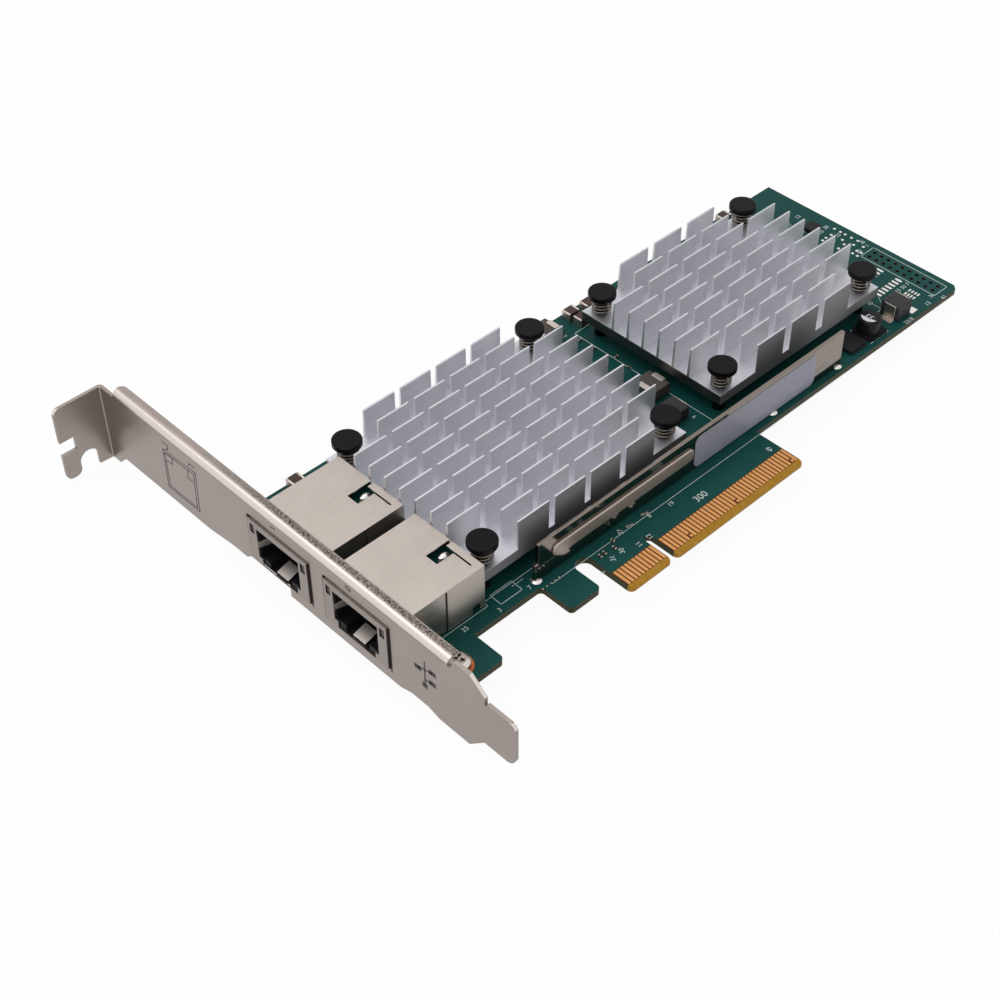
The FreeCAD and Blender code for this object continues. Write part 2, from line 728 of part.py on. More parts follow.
# ---------------------------------------------------------------------------------------------
# Modular jacks, two alike. A folded sheet shield stands on the board and shows its face in the
# bracket; inside are a black housing, eight spring contacts, two light pipes, a block of
# transformers with a small board on top, and the pins that go down through the card.
# ---------------------------------------------------------------------------------------------
def build_shield(port):
    """The folded shield: face with its openings, set-in front walls, rear cover, window and fingers."""
    middle = f"port_0_y + {port} * port_pitch"
    face = "bracket_face - port_nose"
    shield = new_body(f"port_{port}_shield")
    front_half = "port_half - port_set_in"
    nose_back = "bracket_face + sheet + 0.35"
    for name, left, half, right in (("nose", face, "nose_half", "port_seam"),
                                    ("front", nose_back, front_half, "port_seam"),
                                    ("rear", "port_seam", "port_half", "port_back")):
        part = new_sketch(shield, name, "XY_Plane", "shield_low")
        add_rectangle(part, left, f"{middle} - ({half})", right, f"{middle} + ({half})")
        pad(part, "shield_top - shield_low")
    roof = new_sketch(shield, "roof", "XY_Plane", "shield_top - shield_sheet")
    add_rectangle(roof, nose_back, f"{middle} - port_half", "port_seam", f"{middle} + port_half")
    pad(roof, "shield_sheet")
    for name, left, half, right in (
            ("nose_room", f"{face} + shield_sheet", "nose_half - shield_sheet", "port_seam"),
            ("front_room", f"{nose_back} + shield_sheet", f"{front_half} - shield_sheet", "port_seam"),
            ("rear_room", "port_seam", "port_half - shield_sheet", "port_back - shield_sheet")):
        room = new_sketch(shield, name, "XY_Plane", "shield_low")
        add_rectangle(room, left, f"{middle} - ({half})", right, f"{middle} + ({half})")
        pocket(room, "shield_top - shield_low - shield_sheet", reversed_way=True)
    openings = new_sketch(shield, "openings", "YZ_Plane", f"{face} - 1")
    add_rectangle(openings, f"{middle} - face_half", "plug_low - 0.3",
                  f"{middle} + face_half", "plug_top + 0.2")
    for side in ("-1", "1"):
        lamp = f"{middle} + {side} * lamp_offset"
        add_rectangle(openings, f"{lamp} - lamp_width / 2", "lamp_low",
                      f"{lamp} + lamp_width / 2", "lamp_top")
    pocket(openings, "1 + shield_sheet", reversed_way=True)
    latch = new_sketch(shield, "latch", "YZ_Plane", f"{face} - 1")
    add_rectangle(latch, f"{middle} - face_half + 1", "shield_low + shield_sheet",
                  f"{middle} + face_half - 1", "plug_low")
    pocket(latch, "1 + shield_sheet", reversed_way=True)
    stop = new_sketch(shield, "stop", "XY_Plane", "shield_low")
    add_rectangle(stop, f"{face} + shield_sheet / 2", f"{middle} - stop_half",
                  f"{face} + stop_reach", f"{middle} + stop_half")
    pad(stop, "shield_sheet")
    fingers = new_sketch(shield, "fingers", "XY_Plane", "finger_low")
    for side in ("-1", "1"):
        add_outline(fingers, [
            (f"{face} + shield_sheet / 2", f"{middle} + {side} * (face_half + shield_sheet)"),
            (f"{face} + shield_sheet / 2", f"{middle} + {side} * face_half"),
            (f"{face} + finger_reach", f"{middle} + {side} * (face_half - finger_lean)"),
            (f"{face} + finger_reach", f"{middle} + {side} * (face_half - finger_lean + shield_sheet)"),
        ])
    pad(fingers, "finger_top - finger_low")
    window = new_sketch(shield, "window", "XY_Plane", "shield_top + 1")
    add_outline(window, [
        ("window_left", f"{middle} + window_low"),
        ("window_right", f"{middle} + window_low"),
        ("window_right", f"{middle} + window_slot_end"),
        ("window_right + window_slot", f"{middle} + window_slot_end"),
        ("window_right + window_slot", f"{middle} + window_high - window_gap"),
        ("port_back + 1", f"{middle} + window_high - window_gap"),
        ("port_back + 1", f"{middle} + window_high"),
        ("window_left", f"{middle} + window_high"),
    ])
    pocket(window, "1 + shield_sheet")
    cuts = new_sketch(shield, "foot_cuts", "XZ_Plane", f"-({middle}) - port_half - 1")
    add_rectangle(cuts, "foot_cut_left", "shield_low - 1", "foot_cut_right", "foot_cut_height")
    pocket(cuts, "2 * port_half + 2", reversed_way=True)
    tails = new_sketch(shield, "tails", "XZ_Plane", f"-({middle}) - port_half + port_set_in")
    add_rectangle(tails, "tail_x - tail_width / 2", "-board_thickness - pin_below",
                  "tail_x + tail_width / 2", "shield_low + shield_sheet")
    pad(tails, "shield_sheet")
    far_tails = new_sketch(shield, "far_tails", "XZ_Plane", f"-({middle}) + port_half - port_set_in")
    add_rectangle(far_tails, "tail_x - tail_width / 2", "-board_thickness - pin_below",
                  "tail_x + tail_width / 2", "shield_low + shield_sheet")
    pad(far_tails, "shield_sheet", reversed_way=True)


def build_housing(port):
    """The black housing: the plug cavity over its latch recess, the lamp channels and the comb."""
    middle = f"port_0_y + {port} * port_pitch"
    face = "bracket_face - port_nose"
    front = f"{face} + shield_sheet + fit_gap"
    housing = new_body(f"port_{port}_housing")
    shell = new_sketch(housing, "shell", "XY_Plane", "fit_gap")
    half = "nose_half - shield_sheet - fit_gap"
    add_rectangle(shell, f"{face} + stop_reach + fit_gap", f"{middle} - ({half})", "housing_back",
                  f"{middle} + ({half})")
    pad(shell, "shield_top - shield_sheet - 2 * fit_gap")
    nose = new_sketch(housing, "nose", "XY_Plane", "shield_low + shield_sheet + fit_gap")
    add_rectangle(nose, front, f"{middle} - ({half})", "housing_back", f"{middle} + ({half})")
    pad(nose, "shield_top - 2 * shield_sheet - shield_low - 2 * fit_gap")
    plug = new_sketch(housing, "plug", "YZ_Plane", f"{front} - 1")
    add_outline(plug, [
        (f"{middle} - plug_half", "plug_low"),
        (f"{middle} - latch_half", "plug_low"),
        (f"{middle} - latch_half", "latch_low"),
        (f"{middle} + latch_half", "latch_low"),
        (f"{middle} + latch_half", "plug_low"),
        (f"{middle} + plug_half", "plug_low"),
        (f"{middle} + plug_half", "plug_top"),
        (f"{middle} - plug_half", "plug_top"),
    ])
    pocket(plug, "plug_depth + 1", reversed_way=True)
    relief = new_sketch(housing, "relief", "YZ_Plane", f"{front} - 1")
    add_rectangle(relief, f"{middle} - face_half - shield_sheet - fit_gap", "finger_low - fit_gap",
                  f"{middle} + face_half + shield_sheet + fit_gap", "finger_top + fit_gap")
    pocket(relief, "1 + finger_reach", reversed_way=True)
    lamps = new_sketch(housing, "lamps", "YZ_Plane", f"{front} - 1")
    for side in ("-1", "1"):
        lamp = f"{middle} + {side} * lamp_offset"
        add_rectangle(lamps, f"{lamp} - lamp_width / 2", "lamp_low",
                      f"{lamp} + lamp_width / 2", "lamp_top")
    pocket(lamps, "20", reversed_way=True)
    comb = new_sketch(housing, "comb", "XZ_Plane",
                      f"-({middle}) + (spring_count - 1) / 2 * spring_pitch + spring_width / 2 + fit_gap")
    add_rectangle(comb, f"{front} + 4.4", "plug_top - 0.5", "housing_back + 1", "plug_top + 0.7")
    groove = pocket(comb, "spring_width + 2 * fit_gap")
    repeat(groove, "Y_Axis", "(spring_count - 1) * spring_pitch", "spring_count")


def port_middle(port):
    return port_centres[port]


def build_springs(port):
    """Eight spring contacts: each lies in its groove, turns down and slopes back into the cavity."""
    front = size("bracket_face") - size("port_nose") + size("shield_sheet") + size("fit_gap") + 4.6
    back = size("housing_back")
    top = size("plug_top") + 0.7
    thick = size("spring_thickness")
    tip_x = front + 6.6
    tip_z = size("plug_top") - 3.4
    corners = [(back, top), (front, top), (front, top - thick), (tip_x, tip_z),
               (tip_x + thick, tip_z + 0.1), (front + 1.4, top - thick), (back, top - thick)]
    springs = []
    for index in range(int(size("spring_count"))):
        offset = (index - (size("spring_count") - 1) / 2) * size("spring_pitch")
        y = port_middle(port) + offset - size("spring_width") / 2
        outline = Part.makePolygon([Vector(x, y, z) for x, z in corners + corners[:1]])
        springs.append(Part.Face(outline).extrude(AXIS_Y * size("spring_width")))
    code_part(f"port_{port}_contacts", Part.makeCompound(springs))


def build_light_pipes(port):
    front = size("bracket_face") - size("port_nose") + size("shield_sheet")
    length = size("housing_back") - front - 0.5
    width = size("lamp_width") - 2 * size("fit_gap")
    height = size("lamp_top") - size("lamp_low") - 2 * size("fit_gap")
    pipes = []
    for side in (-1, 1):
        y = port_middle(port) + side * size("lamp_offset") - width / 2
        pipes.append(Part.makeBox(length, width, height, Vector(front, y, size("lamp_low") + size("fit_gap"))))
    code_part(f"port_{port}_light_pipes", Part.makeCompound(pipes))


def build_transformers(port):
    """The rear block, the small board on it and the pins through the card."""
    gap = size("fit_gap")
    left = size("housing_back") + gap
    right = size("port_back") - size("shield_sheet") - gap
    half = size("nose_half") - size("shield_sheet") - gap
    middle = port_middle(port)
    low = gap
    top = size("inner_board_low")
    code_part(f"port_{port}_transformers",
              Part.makeBox(right - left, 2 * half, top - low, Vector(left, middle - half, low)))
    board_shape = Part.makeBox(right - left, 2 * half, size("inner_board_thickness"),
                               Vector(left, middle - half, top))
    code_part(f"port_{port}_inner_board", board_shape)
    length = size("board_thickness") + size("pin_below") + gap
    pins = [block(size("pin_side"), size("pin_side"), length, x, y, gap - length)
            for x, y in port_pin_places(middle)]
    code_part(f"port_{port}_pins", Part.makeCompound(pins))


for port in range(2):
    build_shield(port)
    build_housing(port)
    build_springs(port)
    build_light_pipes(port)
    build_transformers(port)


# ---------------------------------------------------------------------------------------------
# Cross-cut heatsinks. Each is an extruded comb of fins on a base; slots cut across the fins leave
# rows of short fins, the corners are cleared for the push pins, and a pedestal reaches the chip.
# ---------------------------------------------------------------------------------------------
def build_heatsink(name):
    sink = new_body(f"{name}_heatsink")
    left = f"{name}_left"
    low = f"{name}_low"
    right = f"{left} + {name}_column_pitch * {name}_columns - {name}_cut"
    high = f"{low} + {name}_fin_pitch * ({name}_rows - 1) + {name}_fin_thickness"
    base = new_sketch(sink, "base", "XY_Plane", f"{name}_base_low")
    add_rectangle(base, left, low, right, high)
    pad(base, f"{name}_base_top - {name}_base_low")
    fin = new_sketch(sink, "fin", "XY_Plane", f"{name}_base_top")
    add_rectangle(fin, left, low, right, f"{low} + {name}_fin_thickness")
    fins = pad(fin, f"{name}_fin_top - {name}_base_top")
    repeat(fins, "Y_Axis", f"({name}_rows - 1) * {name}_fin_pitch", f"{name}_rows")
    cut = new_sketch(sink, "cut", "XY_Plane", f"{name}_fin_top + 1")
    slot = f"{left} + {name}_column_pitch - {name}_cut"
    add_rectangle(cut, slot, f"{low} - 1", f"{slot} + {name}_cut", f"{high} + 1")
    cuts = pocket(cut, f"1 + {name}_fin_top - {name}_base_top")
    repeat(cuts, "X_Axis", f"({name}_columns - 2) * {name}_column_pitch", f"{name}_columns - 1")
    corners = new_sketch(sink, "corners", "XY_Plane", f"{name}_fin_top + 1")
    reach = f"{name}_corner_rows * {name}_fin_pitch - {name}_fin_thickness"
    width = f"{name}_column_pitch - {name}_cut / 2"
    for x0, x1 in ((f"{left} - 1", f"{left} + {width}"), (f"{right} - ({width})", f"{right} + 1")):
        for y0, y1 in ((f"{low} - 1", f"{low} + {reach}"), (f"{high} - ({reach})", f"{high} + 1")):
            add_rectangle(corners, x0, y0, x1, y1)
    pocket(corners, f"1 + {name}_fin_top - {name}_base_top")
    pedestal = new_sketch(sink, "pedestal", "XY_Plane", f"{name}_base_low")
    middle_x = f"({left} + ({right})) / 2"
    middle_y = f"({low} + ({high})) / 2"
    add_rectangle(pedestal, f"{middle_x} - pedestal_side / 2", f"{middle_y} - pedestal_side / 2",
                  f"{middle_x} + pedestal_side / 2", f"{middle_y} + pedestal_side / 2")
    pad(pedestal, f"{name}_base_low - ball_height - chip_substrate - chip_mould - pad_thickness",
        reversed_way=True)
    bores = new_sketch(sink, "bores", "XY_Plane", f"{name}_base_top")
    for x in (f"{left} + {name}_inset", f"{right} - {name}_inset"):
        for y in (f"{low} + {name}_inset_y", f"{high} - {name}_inset_y"):
            add_circle(bores, x, y, "push_shaft + push_clear")
    pocket(bores, f"{name}_base_top - {name}_base_low")


def build_push_pins(name):
    """Mushroom-headed pins through the base and the board, each with a split barb below."""
    base_top = size(f"{name}_base_top")
    under_head = base_top + size("push_above_base") - size("push_head_height")
    neck_low = under_head - size("push_neck_height")
    barb_top = -size("board_thickness") - 0.05
    barb_low = barb_top - size("push_barb_height")
    shaft = size("push_shaft") / 2
    head = size("push_head") / 2
    profile = [
        (0, barb_low), (0.55 * shaft, barb_low), (size("push_barb") / 2, barb_top), (shaft, barb_top),
        (shaft, neck_low), (size("push_neck") / 2, under_head), (head, under_head),
        (head, under_head + 0.6 * size("push_head_height")),
        (head - 0.35, under_head + size("push_head_height")), (0, under_head + size("push_head_height")),
    ]
    outline = Part.makePolygon([Vector(r, 0, z) for r, z in profile + profile[:1]])
    pin = Part.Face(outline).revolve(Vector(), AXIS_Z, 360)
    slit = block(2 * head, size("push_slit"), size("push_barb_height") + 1.2, 0, 0, barb_low - 1)
    pin = pin.cut(slit)
    pins = [pin.translated(Vector(x, y, 0)) for x, y in push_pin_places(name)]
    code_part(f"{name}_push_pins", Part.makeCompound(pins))
    return under_head


def coil_spring(low, high):
    """A round coil of square wire, its turns made of short straight lengths."""
    wire = size("coil_wire")
    radius = (size("coil_diameter") - wire) / 2
    steps_per_turn = 8
    steps = int(size("coil_turns") * steps_per_turn)
    rise = (high - low - wire) / steps
    rings = []
    for step in range(steps + 1):
        angle = 2 * math.pi * step / steps_per_turn
        outward = Vector(math.cos(angle), math.sin(angle), 0)
        middle = outward * radius + AXIS_Z * (low + wire / 2 + rise * step)
        rings.append([middle + outward * (wire / 2 * a) + AXIS_Z * (wire / 2 * b)
                      for a, b in ((-1, -1), (1, -1), (1, 1), (-1, 1))])
    faces = [Part.Face(Part.makePolygon(rings[0] + rings[0][:1])),
             Part.Face(Part.makePolygon(rings[-1] + rings[-1][:1]))]
    for ring, following in zip(rings, rings[1:]):
        for corner in range(4):
            after = (corner + 1) % 4
            a, b, c, d = ring[corner], ring[after], following[after], following[corner]
            faces.append(Part.Face(Part.makePolygon([a, b, c, a])))
            faces.append(Part.Face(Part.makePolygon([a, c, d, a])))
    coil = Part.Solid(Part.Shell(faces))
    if coil.Volume < 0:
        coil.reverse()
    return coil


def build_pin_springs(name, under_head):
    gap = size("coil_seat")
    coil = coil_spring(size(f"{name}_base_top") + gap, under_head - gap)
    coils = [coil.translated(Vector(x, y, 0)) for x, y in push_pin_places(name)]
    code_part(f"{name}_pin_springs", Part.makeCompound(coils))


def build_chip(name, label):
    """A ball-mounted chip in the middle under a heatsink, and the thermal pad on it."""
    left, low, length, width = heatsinks[name]
    x = left + length / 2
    y = low + width / 2
    side = size("chip_side")
    substrate_low = size("ball_height")
    mould_low = substrate_low + size("chip_substrate")
    pad_low = mould_low + size("chip_mould")
    substrate = block(side, side, size("chip_substrate"), x, y, substrate_low)
    mould = block(side - 2.5, side - 2.5, size("chip_mould"), x, y, mould_low)
    chip = substrate.fuse(mould)
    ball_count = 5
    ball_pitch = (side - 3) / (ball_count - 1)
    balls = []
    for row in range(ball_count):
        for column in range(ball_count):
            ball_x = x + (column - (ball_count - 1) / 2) * ball_pitch
            ball_y = y + (row - (ball_count - 1) / 2) * ball_pitch
            balls.append(block(0.6, 0.6, size("ball_height"), ball_x, ball_y, 0))
    code_part(f"{label}_chip", chip)
    code_part(f"{label}_solder_balls", Part.makeCompound(balls))
    code_part(f"{name}_thermal_pad", block(side - 2, side - 2, size("pad_thickness"), x, y, pad_low))


for name, label in (("near", "line_driver"), ("far", "controller")):
    build_heatsink(name)
    build_pin_springs(name, build_push_pins(name))
    build_chip(name, label)

# ---------------------------------------------------------------------------------------------
# Stiffener rail: a strip with a long embossed rib, on three legs that go through the board, and
# the label on its front face.
# ---------------------------------------------------------------------------------------------
rail = new_body("stiffener_rail")
strip = new_sketch(rail, "strip", "XZ_Plane", "-rail_face")
add_rectangle(strip, "rail_left", "rail_low", "rail_right", "rail_top")
pad(strip, "rail_thickness", reversed_way=True)
dent = new_sketch(rail, "dent", "XZ_Plane", "-rail_face - rail_thickness")
add_rectangle(dent, "rib_left + rib_height", "rib_low + rib_height",
              "rib_right - rib_height", "rib_top - rib_height")
pocket(dent, "rib_height")
rib = new_sketch(rail, "rib", "XZ_Plane", "-rail_face")
add_rectangle(rib, "rib_left", "rib_low", "rib_right", "rib_top")
pad(rib, "rib_height")
fillet(rail, "0.49 * (rib_top - rib_low)", lambda edge: is_along(edge, AXIS_Y) and (
    is_at(edge, x=size("rib_left")) or is_at(edge, x=size("rib_right"))))
legs = new_sketch(rail, "legs", "XZ_Plane", "-rail_face")
for x in ("leg_left", "leg_middle", "leg_right"):
    add_rectangle(legs, f"{x} - leg_width / 2", "-board_thickness - leg_below",
                  f"{x} + leg_width / 2", "rail_low + 0.5")
pad(legs, "rail_thickness", reversed_way=True)
shoulder = new_sketch(rail, "shoulder", "XZ_Plane", "-rail_face")
add_rectangle(shoulder, "leg_left - leg_width / 2", "rail_low", "rail_left + leg_width / 2", "leg_shoulder")
pad(shoulder, "rail_thickness", reversed_way=True)
fillet(rail, "0.6 * rib_height", lambda edge: is_at(edge, y=size("rail_face") - size("rib_height"))
       and edge.Length > 2)

label = doc.addObject("Part::Box", "rail_label")
label.Label = "rail_label"
tie(label, "Length", "label_right - label_left")
tie(label, "Width", "label_thickness")
tie(label, "Height", "label_top - label_low")
tie(label, "Placement.Base.x", "label_left")
tie(label, "Placement.Base.y", "rail_face - label_thickness")
tie(label, "Placement.Base.z", "label_low")

# ---------------------------------------------------------------------------------------------
# Soldered components on the board
# ---------------------------------------------------------------------------------------------
# Can capacitor: a moulded base with two cut corners, and a crimped can on it.
can_base = new_body("can_capacitor_base")
seat = new_sketch(can_base, "seat", "XY_Plane")
add_outline(seat, [
    ("can_x - can_base_side / 2 + can_base_corner", "can_y - can_base_side / 2"),
    ("can_x + can_base_side / 2", "can_y - can_base_side / 2"),
    ("can_x + can_base_side / 2", "can_y + can_base_side / 2"),
    ("can_x - can_base_side / 2 + can_base_corner", "can_y + can_base_side / 2"),
    ("can_x - can_base_side / 2", "can_y + can_base_side / 2 - can_base_corner"),
    ("can_x - can_base_side / 2", "can_y - can_base_side / 2 + can_base_corner"),
])
pad(seat, "can_base_height")
can = new_body("can_capacitor")
case = new_sketch(can, "case", "XY_Plane", "can_base_height")
add_circle(case, "can_x", "can_y", "can_diameter")
pad(case, "can_height - can_base_height")
chamfer(can, "0.08 * can_diameter", lambda edge: is_at(edge, z=size("can_height")))


def clipped_block(x, y, length, width, height, clip_on_top):
    """A moulded coil block, and sheet clips at its two ends that fold onto the board or the top."""
    thick = size("clip_thickness")
    clip_width = size("clip_width")
    foot = size("clip_foot")
    body = block(length, width, height, x, y, 0.1)
    clips = []
    for side in (-1, 1):
        end = x + side * length / 2
        upright = block(thick, clip_width, height + 0.1, end + side * thick / 2, y, 0)
        if clip_on_top:
            upright = block(thick, clip_width, height + 0.1 + thick, end + side * thick / 2, y, 0)
            fold = block(foot, clip_width, thick, end - side * foot / 2, y, height + 0.1)
        else:
            fold = block(foot, clip_width, thick, end + side * (thick + foot / 2), y, 0)
        clips.append(upright.fuse(fold).removeSplitter())
    return body, clips


brown_places = [(29.2, 65.1), (32.6, 36.7)]
brown_size = (size("brown_length"), size("brown_width"), size("brown_height"))
browns = [clipped_block(x, y, *brown_size, True) for x, y in brown_places]
code_part("moulded_inductors", Part.makeCompound([body for body, clips in browns]))
code_part("moulded_inductor_clips", Part.makeCompound([clip for body, clips in browns for clip in clips]))

black, black_clips = clipped_block(size("black_x"), size("black_y"), size("black_length"),
                                   size("black_width"), size("black_height"), False)
code_part("black_inductor", black)
square, square_clips = clipped_block(size("coil_block_x"), size("coil_block_y"),
                                     size("coil_block_length"), size("coil_block_width"),
                                     size("coil_block_height"), False)
code_part("power_inductor", square)
code_part("inductor_feet", Part.makeCompound(black_clips + square_clips))


def chip_package(label, x, y, length, width, height, leads, on_underside=False):
    """A moulded package with a row of leads along each of its two sides that face Y."""
    lead_width = size("transistor_lead")
    lead_reach = 0.7
    foot_height = 0.2
    base = -size("board_thickness") if on_underside else 0
    way = -1 if on_underside else 1
    body = block(length, width, height - 0.1, x, y, base + (0.1 if way > 0 else -height))
    feet = []
    for side in (-1, 1):
        for index in range(leads):
            lead_x = x + (index - (leads - 1) / 2) * size("lead_pitch")
            lead_y = y + side * (width / 2 + lead_reach / 2)
            feet.append(block(lead_width, lead_reach, foot_height, lead_x, lead_y,
                              base if way > 0 else base - foot_height))
    code_part(label, Part.makeCompound([body.fuse(feet).removeSplitter()]))


chip_package("power_transistor", size("transistor_x"), size("transistor_y"), size("transistor_length"),
             size("transistor_width"), size("transistor_height"), 4)
chip_package("small_diode", size("diode_x"), size("diode_y"), size("diode_length"), size("diode_width"),
             size("diode_height"), 2)
chip_package("memory_chip", size("memory_x"), size("memory_y"), size("memory_length"), size("memory_width"),
             size("memory_height"), 4, on_underside=True)

crystal = block(size("crystal_length"), size("crystal_width"), size("crystal_height"), size("crystal_x"),
                size("crystal_y"), -size("board_thickness") - size("crystal_height"))
code_part("crystal", crystal)


def end_capped(kind, x, y, turned=False, on_underside=False):
    """A ceramic chip: its body, and the two plated ends, as separate solids."""
    length = size(f"{kind}_length")
    width = size(f"{kind}_width")
    height = size(f"{kind}_height")
    end = size(f"{kind}_end")
    z = -size("board_thickness") - height if on_underside else 0
    shrink = 0.04
    body = block(length - 2 * end, width - shrink, height - shrink, 0, 0, z + shrink / 2)
    ends = [block(end, width, height, side * (length - end) / 2, 0, z) for side in (-1, 1)]
    solids = []
    for solid in [body] + ends:
        solid.rotate(Vector(), AXIS_Z, 90 if turned else 0)
        solids.append(solid.translated(Vector(x, y, 0)))
    return solids


def build_chip_row(label, kind, places, **how):
    bodies = []
    ends = []
    for x, y, turned in places:
        body, first, second = end_capped(kind, x, y, turned, **how)
        bodies.append(body)
        ends.extend([first, second])
    code_part(f"{label}_bodies", Part.makeCompound(bodies))
    code_part(f"{label}_ends", Part.makeCompound(ends))


large_places = [(-40.2, 67.3, False), (38.9, 66.9, False), (39.2, 63.7, False), (43.9, 66.4, False),
                (91.0, 67.1, False)]
build_chip_row("large_capacitors", "large_cap", large_places)
small_places = [(-5.7, 11.5, True), (-6.9, 9.9, True), (-9.3, 10.25, True), (-10.5, 10.25, True),
                (35.9, 50.0, False), (34.4, 59.6, False), (34.4, 55.4, False), (35.4, 45.5, True),
                (100.9, 53.5, False)]
build_chip_row("small_capacitors", "small_cap", small_places)
underside_places = []
for name in heatsinks:
    left, low, length, width = heatsinks[name]
    for row in range(3):
        for column in range(3):
            underside_places.append((left + length / 2 + (column - 1) * 3.0,
                                     low + width / 2 + (row - 1) * 3.0, row % 2 == 1))
build_chip_row("underside_capacitors", "small_cap", underside_places, on_underside=True)

# ---------------------------------------------------------------------------------------------
# Check every object, then write each sub-part to its own file
# ---------------------------------------------------------------------------------------------
doc.recompute()
for item in doc.Objects:
    faults = [state for state in item.State if state in ("Invalid", "Error")]
    if faults:
        raise RuntimeError(f"{item.Label}: {faults}")
sub_parts = [item for item in doc.Objects
             if item.TypeId in ("PartDesign::Body", "Part::Feature", "Part::Box")]
os.makedirs("parts", exist_ok=True)
for item in sub_parts:
    shape = item.Shape
    if shape.isNull() or not shape.isValid():
        raise RuntimeError(f"{item.Label}: shape is null or not valid")
    shape.exportStep(os.path.join("parts", item.Label + ".step"))
print(len(sub_parts), "sub-parts written")
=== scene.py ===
import math

import bmesh
import bpy
from mathutils import Matrix, Vector
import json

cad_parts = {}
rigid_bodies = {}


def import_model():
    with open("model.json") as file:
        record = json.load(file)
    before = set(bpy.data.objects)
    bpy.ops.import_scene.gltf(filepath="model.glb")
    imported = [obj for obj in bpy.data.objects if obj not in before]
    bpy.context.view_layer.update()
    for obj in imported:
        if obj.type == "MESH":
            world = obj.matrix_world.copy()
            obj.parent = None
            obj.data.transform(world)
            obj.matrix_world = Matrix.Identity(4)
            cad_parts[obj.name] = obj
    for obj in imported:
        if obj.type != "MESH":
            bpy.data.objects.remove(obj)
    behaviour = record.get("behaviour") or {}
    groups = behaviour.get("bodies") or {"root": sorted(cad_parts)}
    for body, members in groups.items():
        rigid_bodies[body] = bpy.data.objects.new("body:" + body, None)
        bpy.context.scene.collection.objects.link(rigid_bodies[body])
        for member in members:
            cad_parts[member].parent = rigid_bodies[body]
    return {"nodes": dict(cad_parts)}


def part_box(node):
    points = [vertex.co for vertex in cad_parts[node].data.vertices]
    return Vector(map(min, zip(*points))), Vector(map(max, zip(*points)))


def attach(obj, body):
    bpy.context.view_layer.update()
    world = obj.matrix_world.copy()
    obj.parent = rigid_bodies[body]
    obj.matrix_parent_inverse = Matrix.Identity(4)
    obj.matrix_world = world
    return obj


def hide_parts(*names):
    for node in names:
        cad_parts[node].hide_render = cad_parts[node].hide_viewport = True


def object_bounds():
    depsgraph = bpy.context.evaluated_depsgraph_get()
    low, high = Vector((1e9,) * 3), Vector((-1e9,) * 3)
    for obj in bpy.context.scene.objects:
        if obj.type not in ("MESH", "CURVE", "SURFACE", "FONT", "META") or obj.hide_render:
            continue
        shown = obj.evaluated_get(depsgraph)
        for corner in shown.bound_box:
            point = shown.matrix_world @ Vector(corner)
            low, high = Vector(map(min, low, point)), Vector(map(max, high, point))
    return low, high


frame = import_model()
cad_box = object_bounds()
MM = 0.001

# Studio: a camera above the card's lower left, a soft light box overhead, a weaker one at the
# left, and a white floor that keeps the card's shadow.
CAMERA_PLACE = Vector((-193.563, -154.246, 253.059)) * MM
CAMERA_TURNS = (-43.529, 44.050, -0.525)  # its azimuth, elevation and roll, in degrees


def linear(code):
    """An sRGB hex colour as the linear RGBA that a shader takes."""
    parts = [int(code[i:i + 2], 16) / 255 for i in (1, 3, 5)]
    return [c / 12.92 if c <= 0.04045 else ((c + 0.055) / 1.055) ** 2.4 for c in parts] + [1.0]


def add_node(tree, kind, inputs=(), **settings):
    """Add a shader node with its settings; each input gets a value or another node's socket."""
    made = tree.nodes.new(kind)
    for name, value in settings.items():
        setattr(made, name, value)
    for name, value in dict(inputs).items():
        if isinstance(value, bpy.types.NodeSocket):
            tree.links.new(value, made.inputs[name])
        else:
            made.inputs[name].default_value = value
    return made


def seen_by(tree, *rays):
    """1 for the kinds of ray that are named, else 0."""
    path = add_node(tree, "ShaderNodeLightPath")
    seen = path.outputs[rays[0]]
    for ray in rays[1:]:
        seen = add_node(tree, "ShaderNodeMath", {0: seen, 1: path.outputs[ray]},
                        operation="MAXIMUM").outputs[0]
    return seen


azimuth, elevation, roll = (math.radians(turn) for turn in CAMERA_TURNS)
back = Vector((math.sin(azimuth) * math.cos(elevation),
               -math.cos(azimuth) * math.cos(elevation), math.sin(elevation)))
level = Vector((math.cos(azimuth), math.sin(azimuth), 0))
rise = back.cross(level)
right = level * math.cos(roll) + rise * math.sin(roll)
up = rise * math.cos(roll) - level * math.sin(roll)
bpy.ops.object.camera_add()
camera = bpy.context.object
camera.name = "camera"
camera.matrix_world = (Matrix.Translation(CAMERA_PLACE)
                       @ Matrix((right, up, back)).transposed().to_4x4())
camera.data.lens = 65.09
camera.data.sensor_width = 36
camera.data.clip_start = 0.01
bpy.context.scene.camera = camera
bpy.context.scene.view_settings.view_transform = "Standard"

middle = (Vector(cad_box[0]) + Vector(cad_box[1])) / 2
for name, place, size, power in (("overhead_box", (-0.10, 0.25, 0.75), 0.7, 2.6),
                                 ("left_box", (-0.70, -0.25, 0.45), 0.5, 1.3)):
    bpy.ops.object.light_add(type="AREA", location=Vector(place))
    lamp = bpy.context.object
    lamp.name = name
    lamp.data.size = size
    lamp.data.energy = power
    lamp.rotation_euler = (middle - Vector(place)).to_track_quat("-Z", "Y").to_euler()

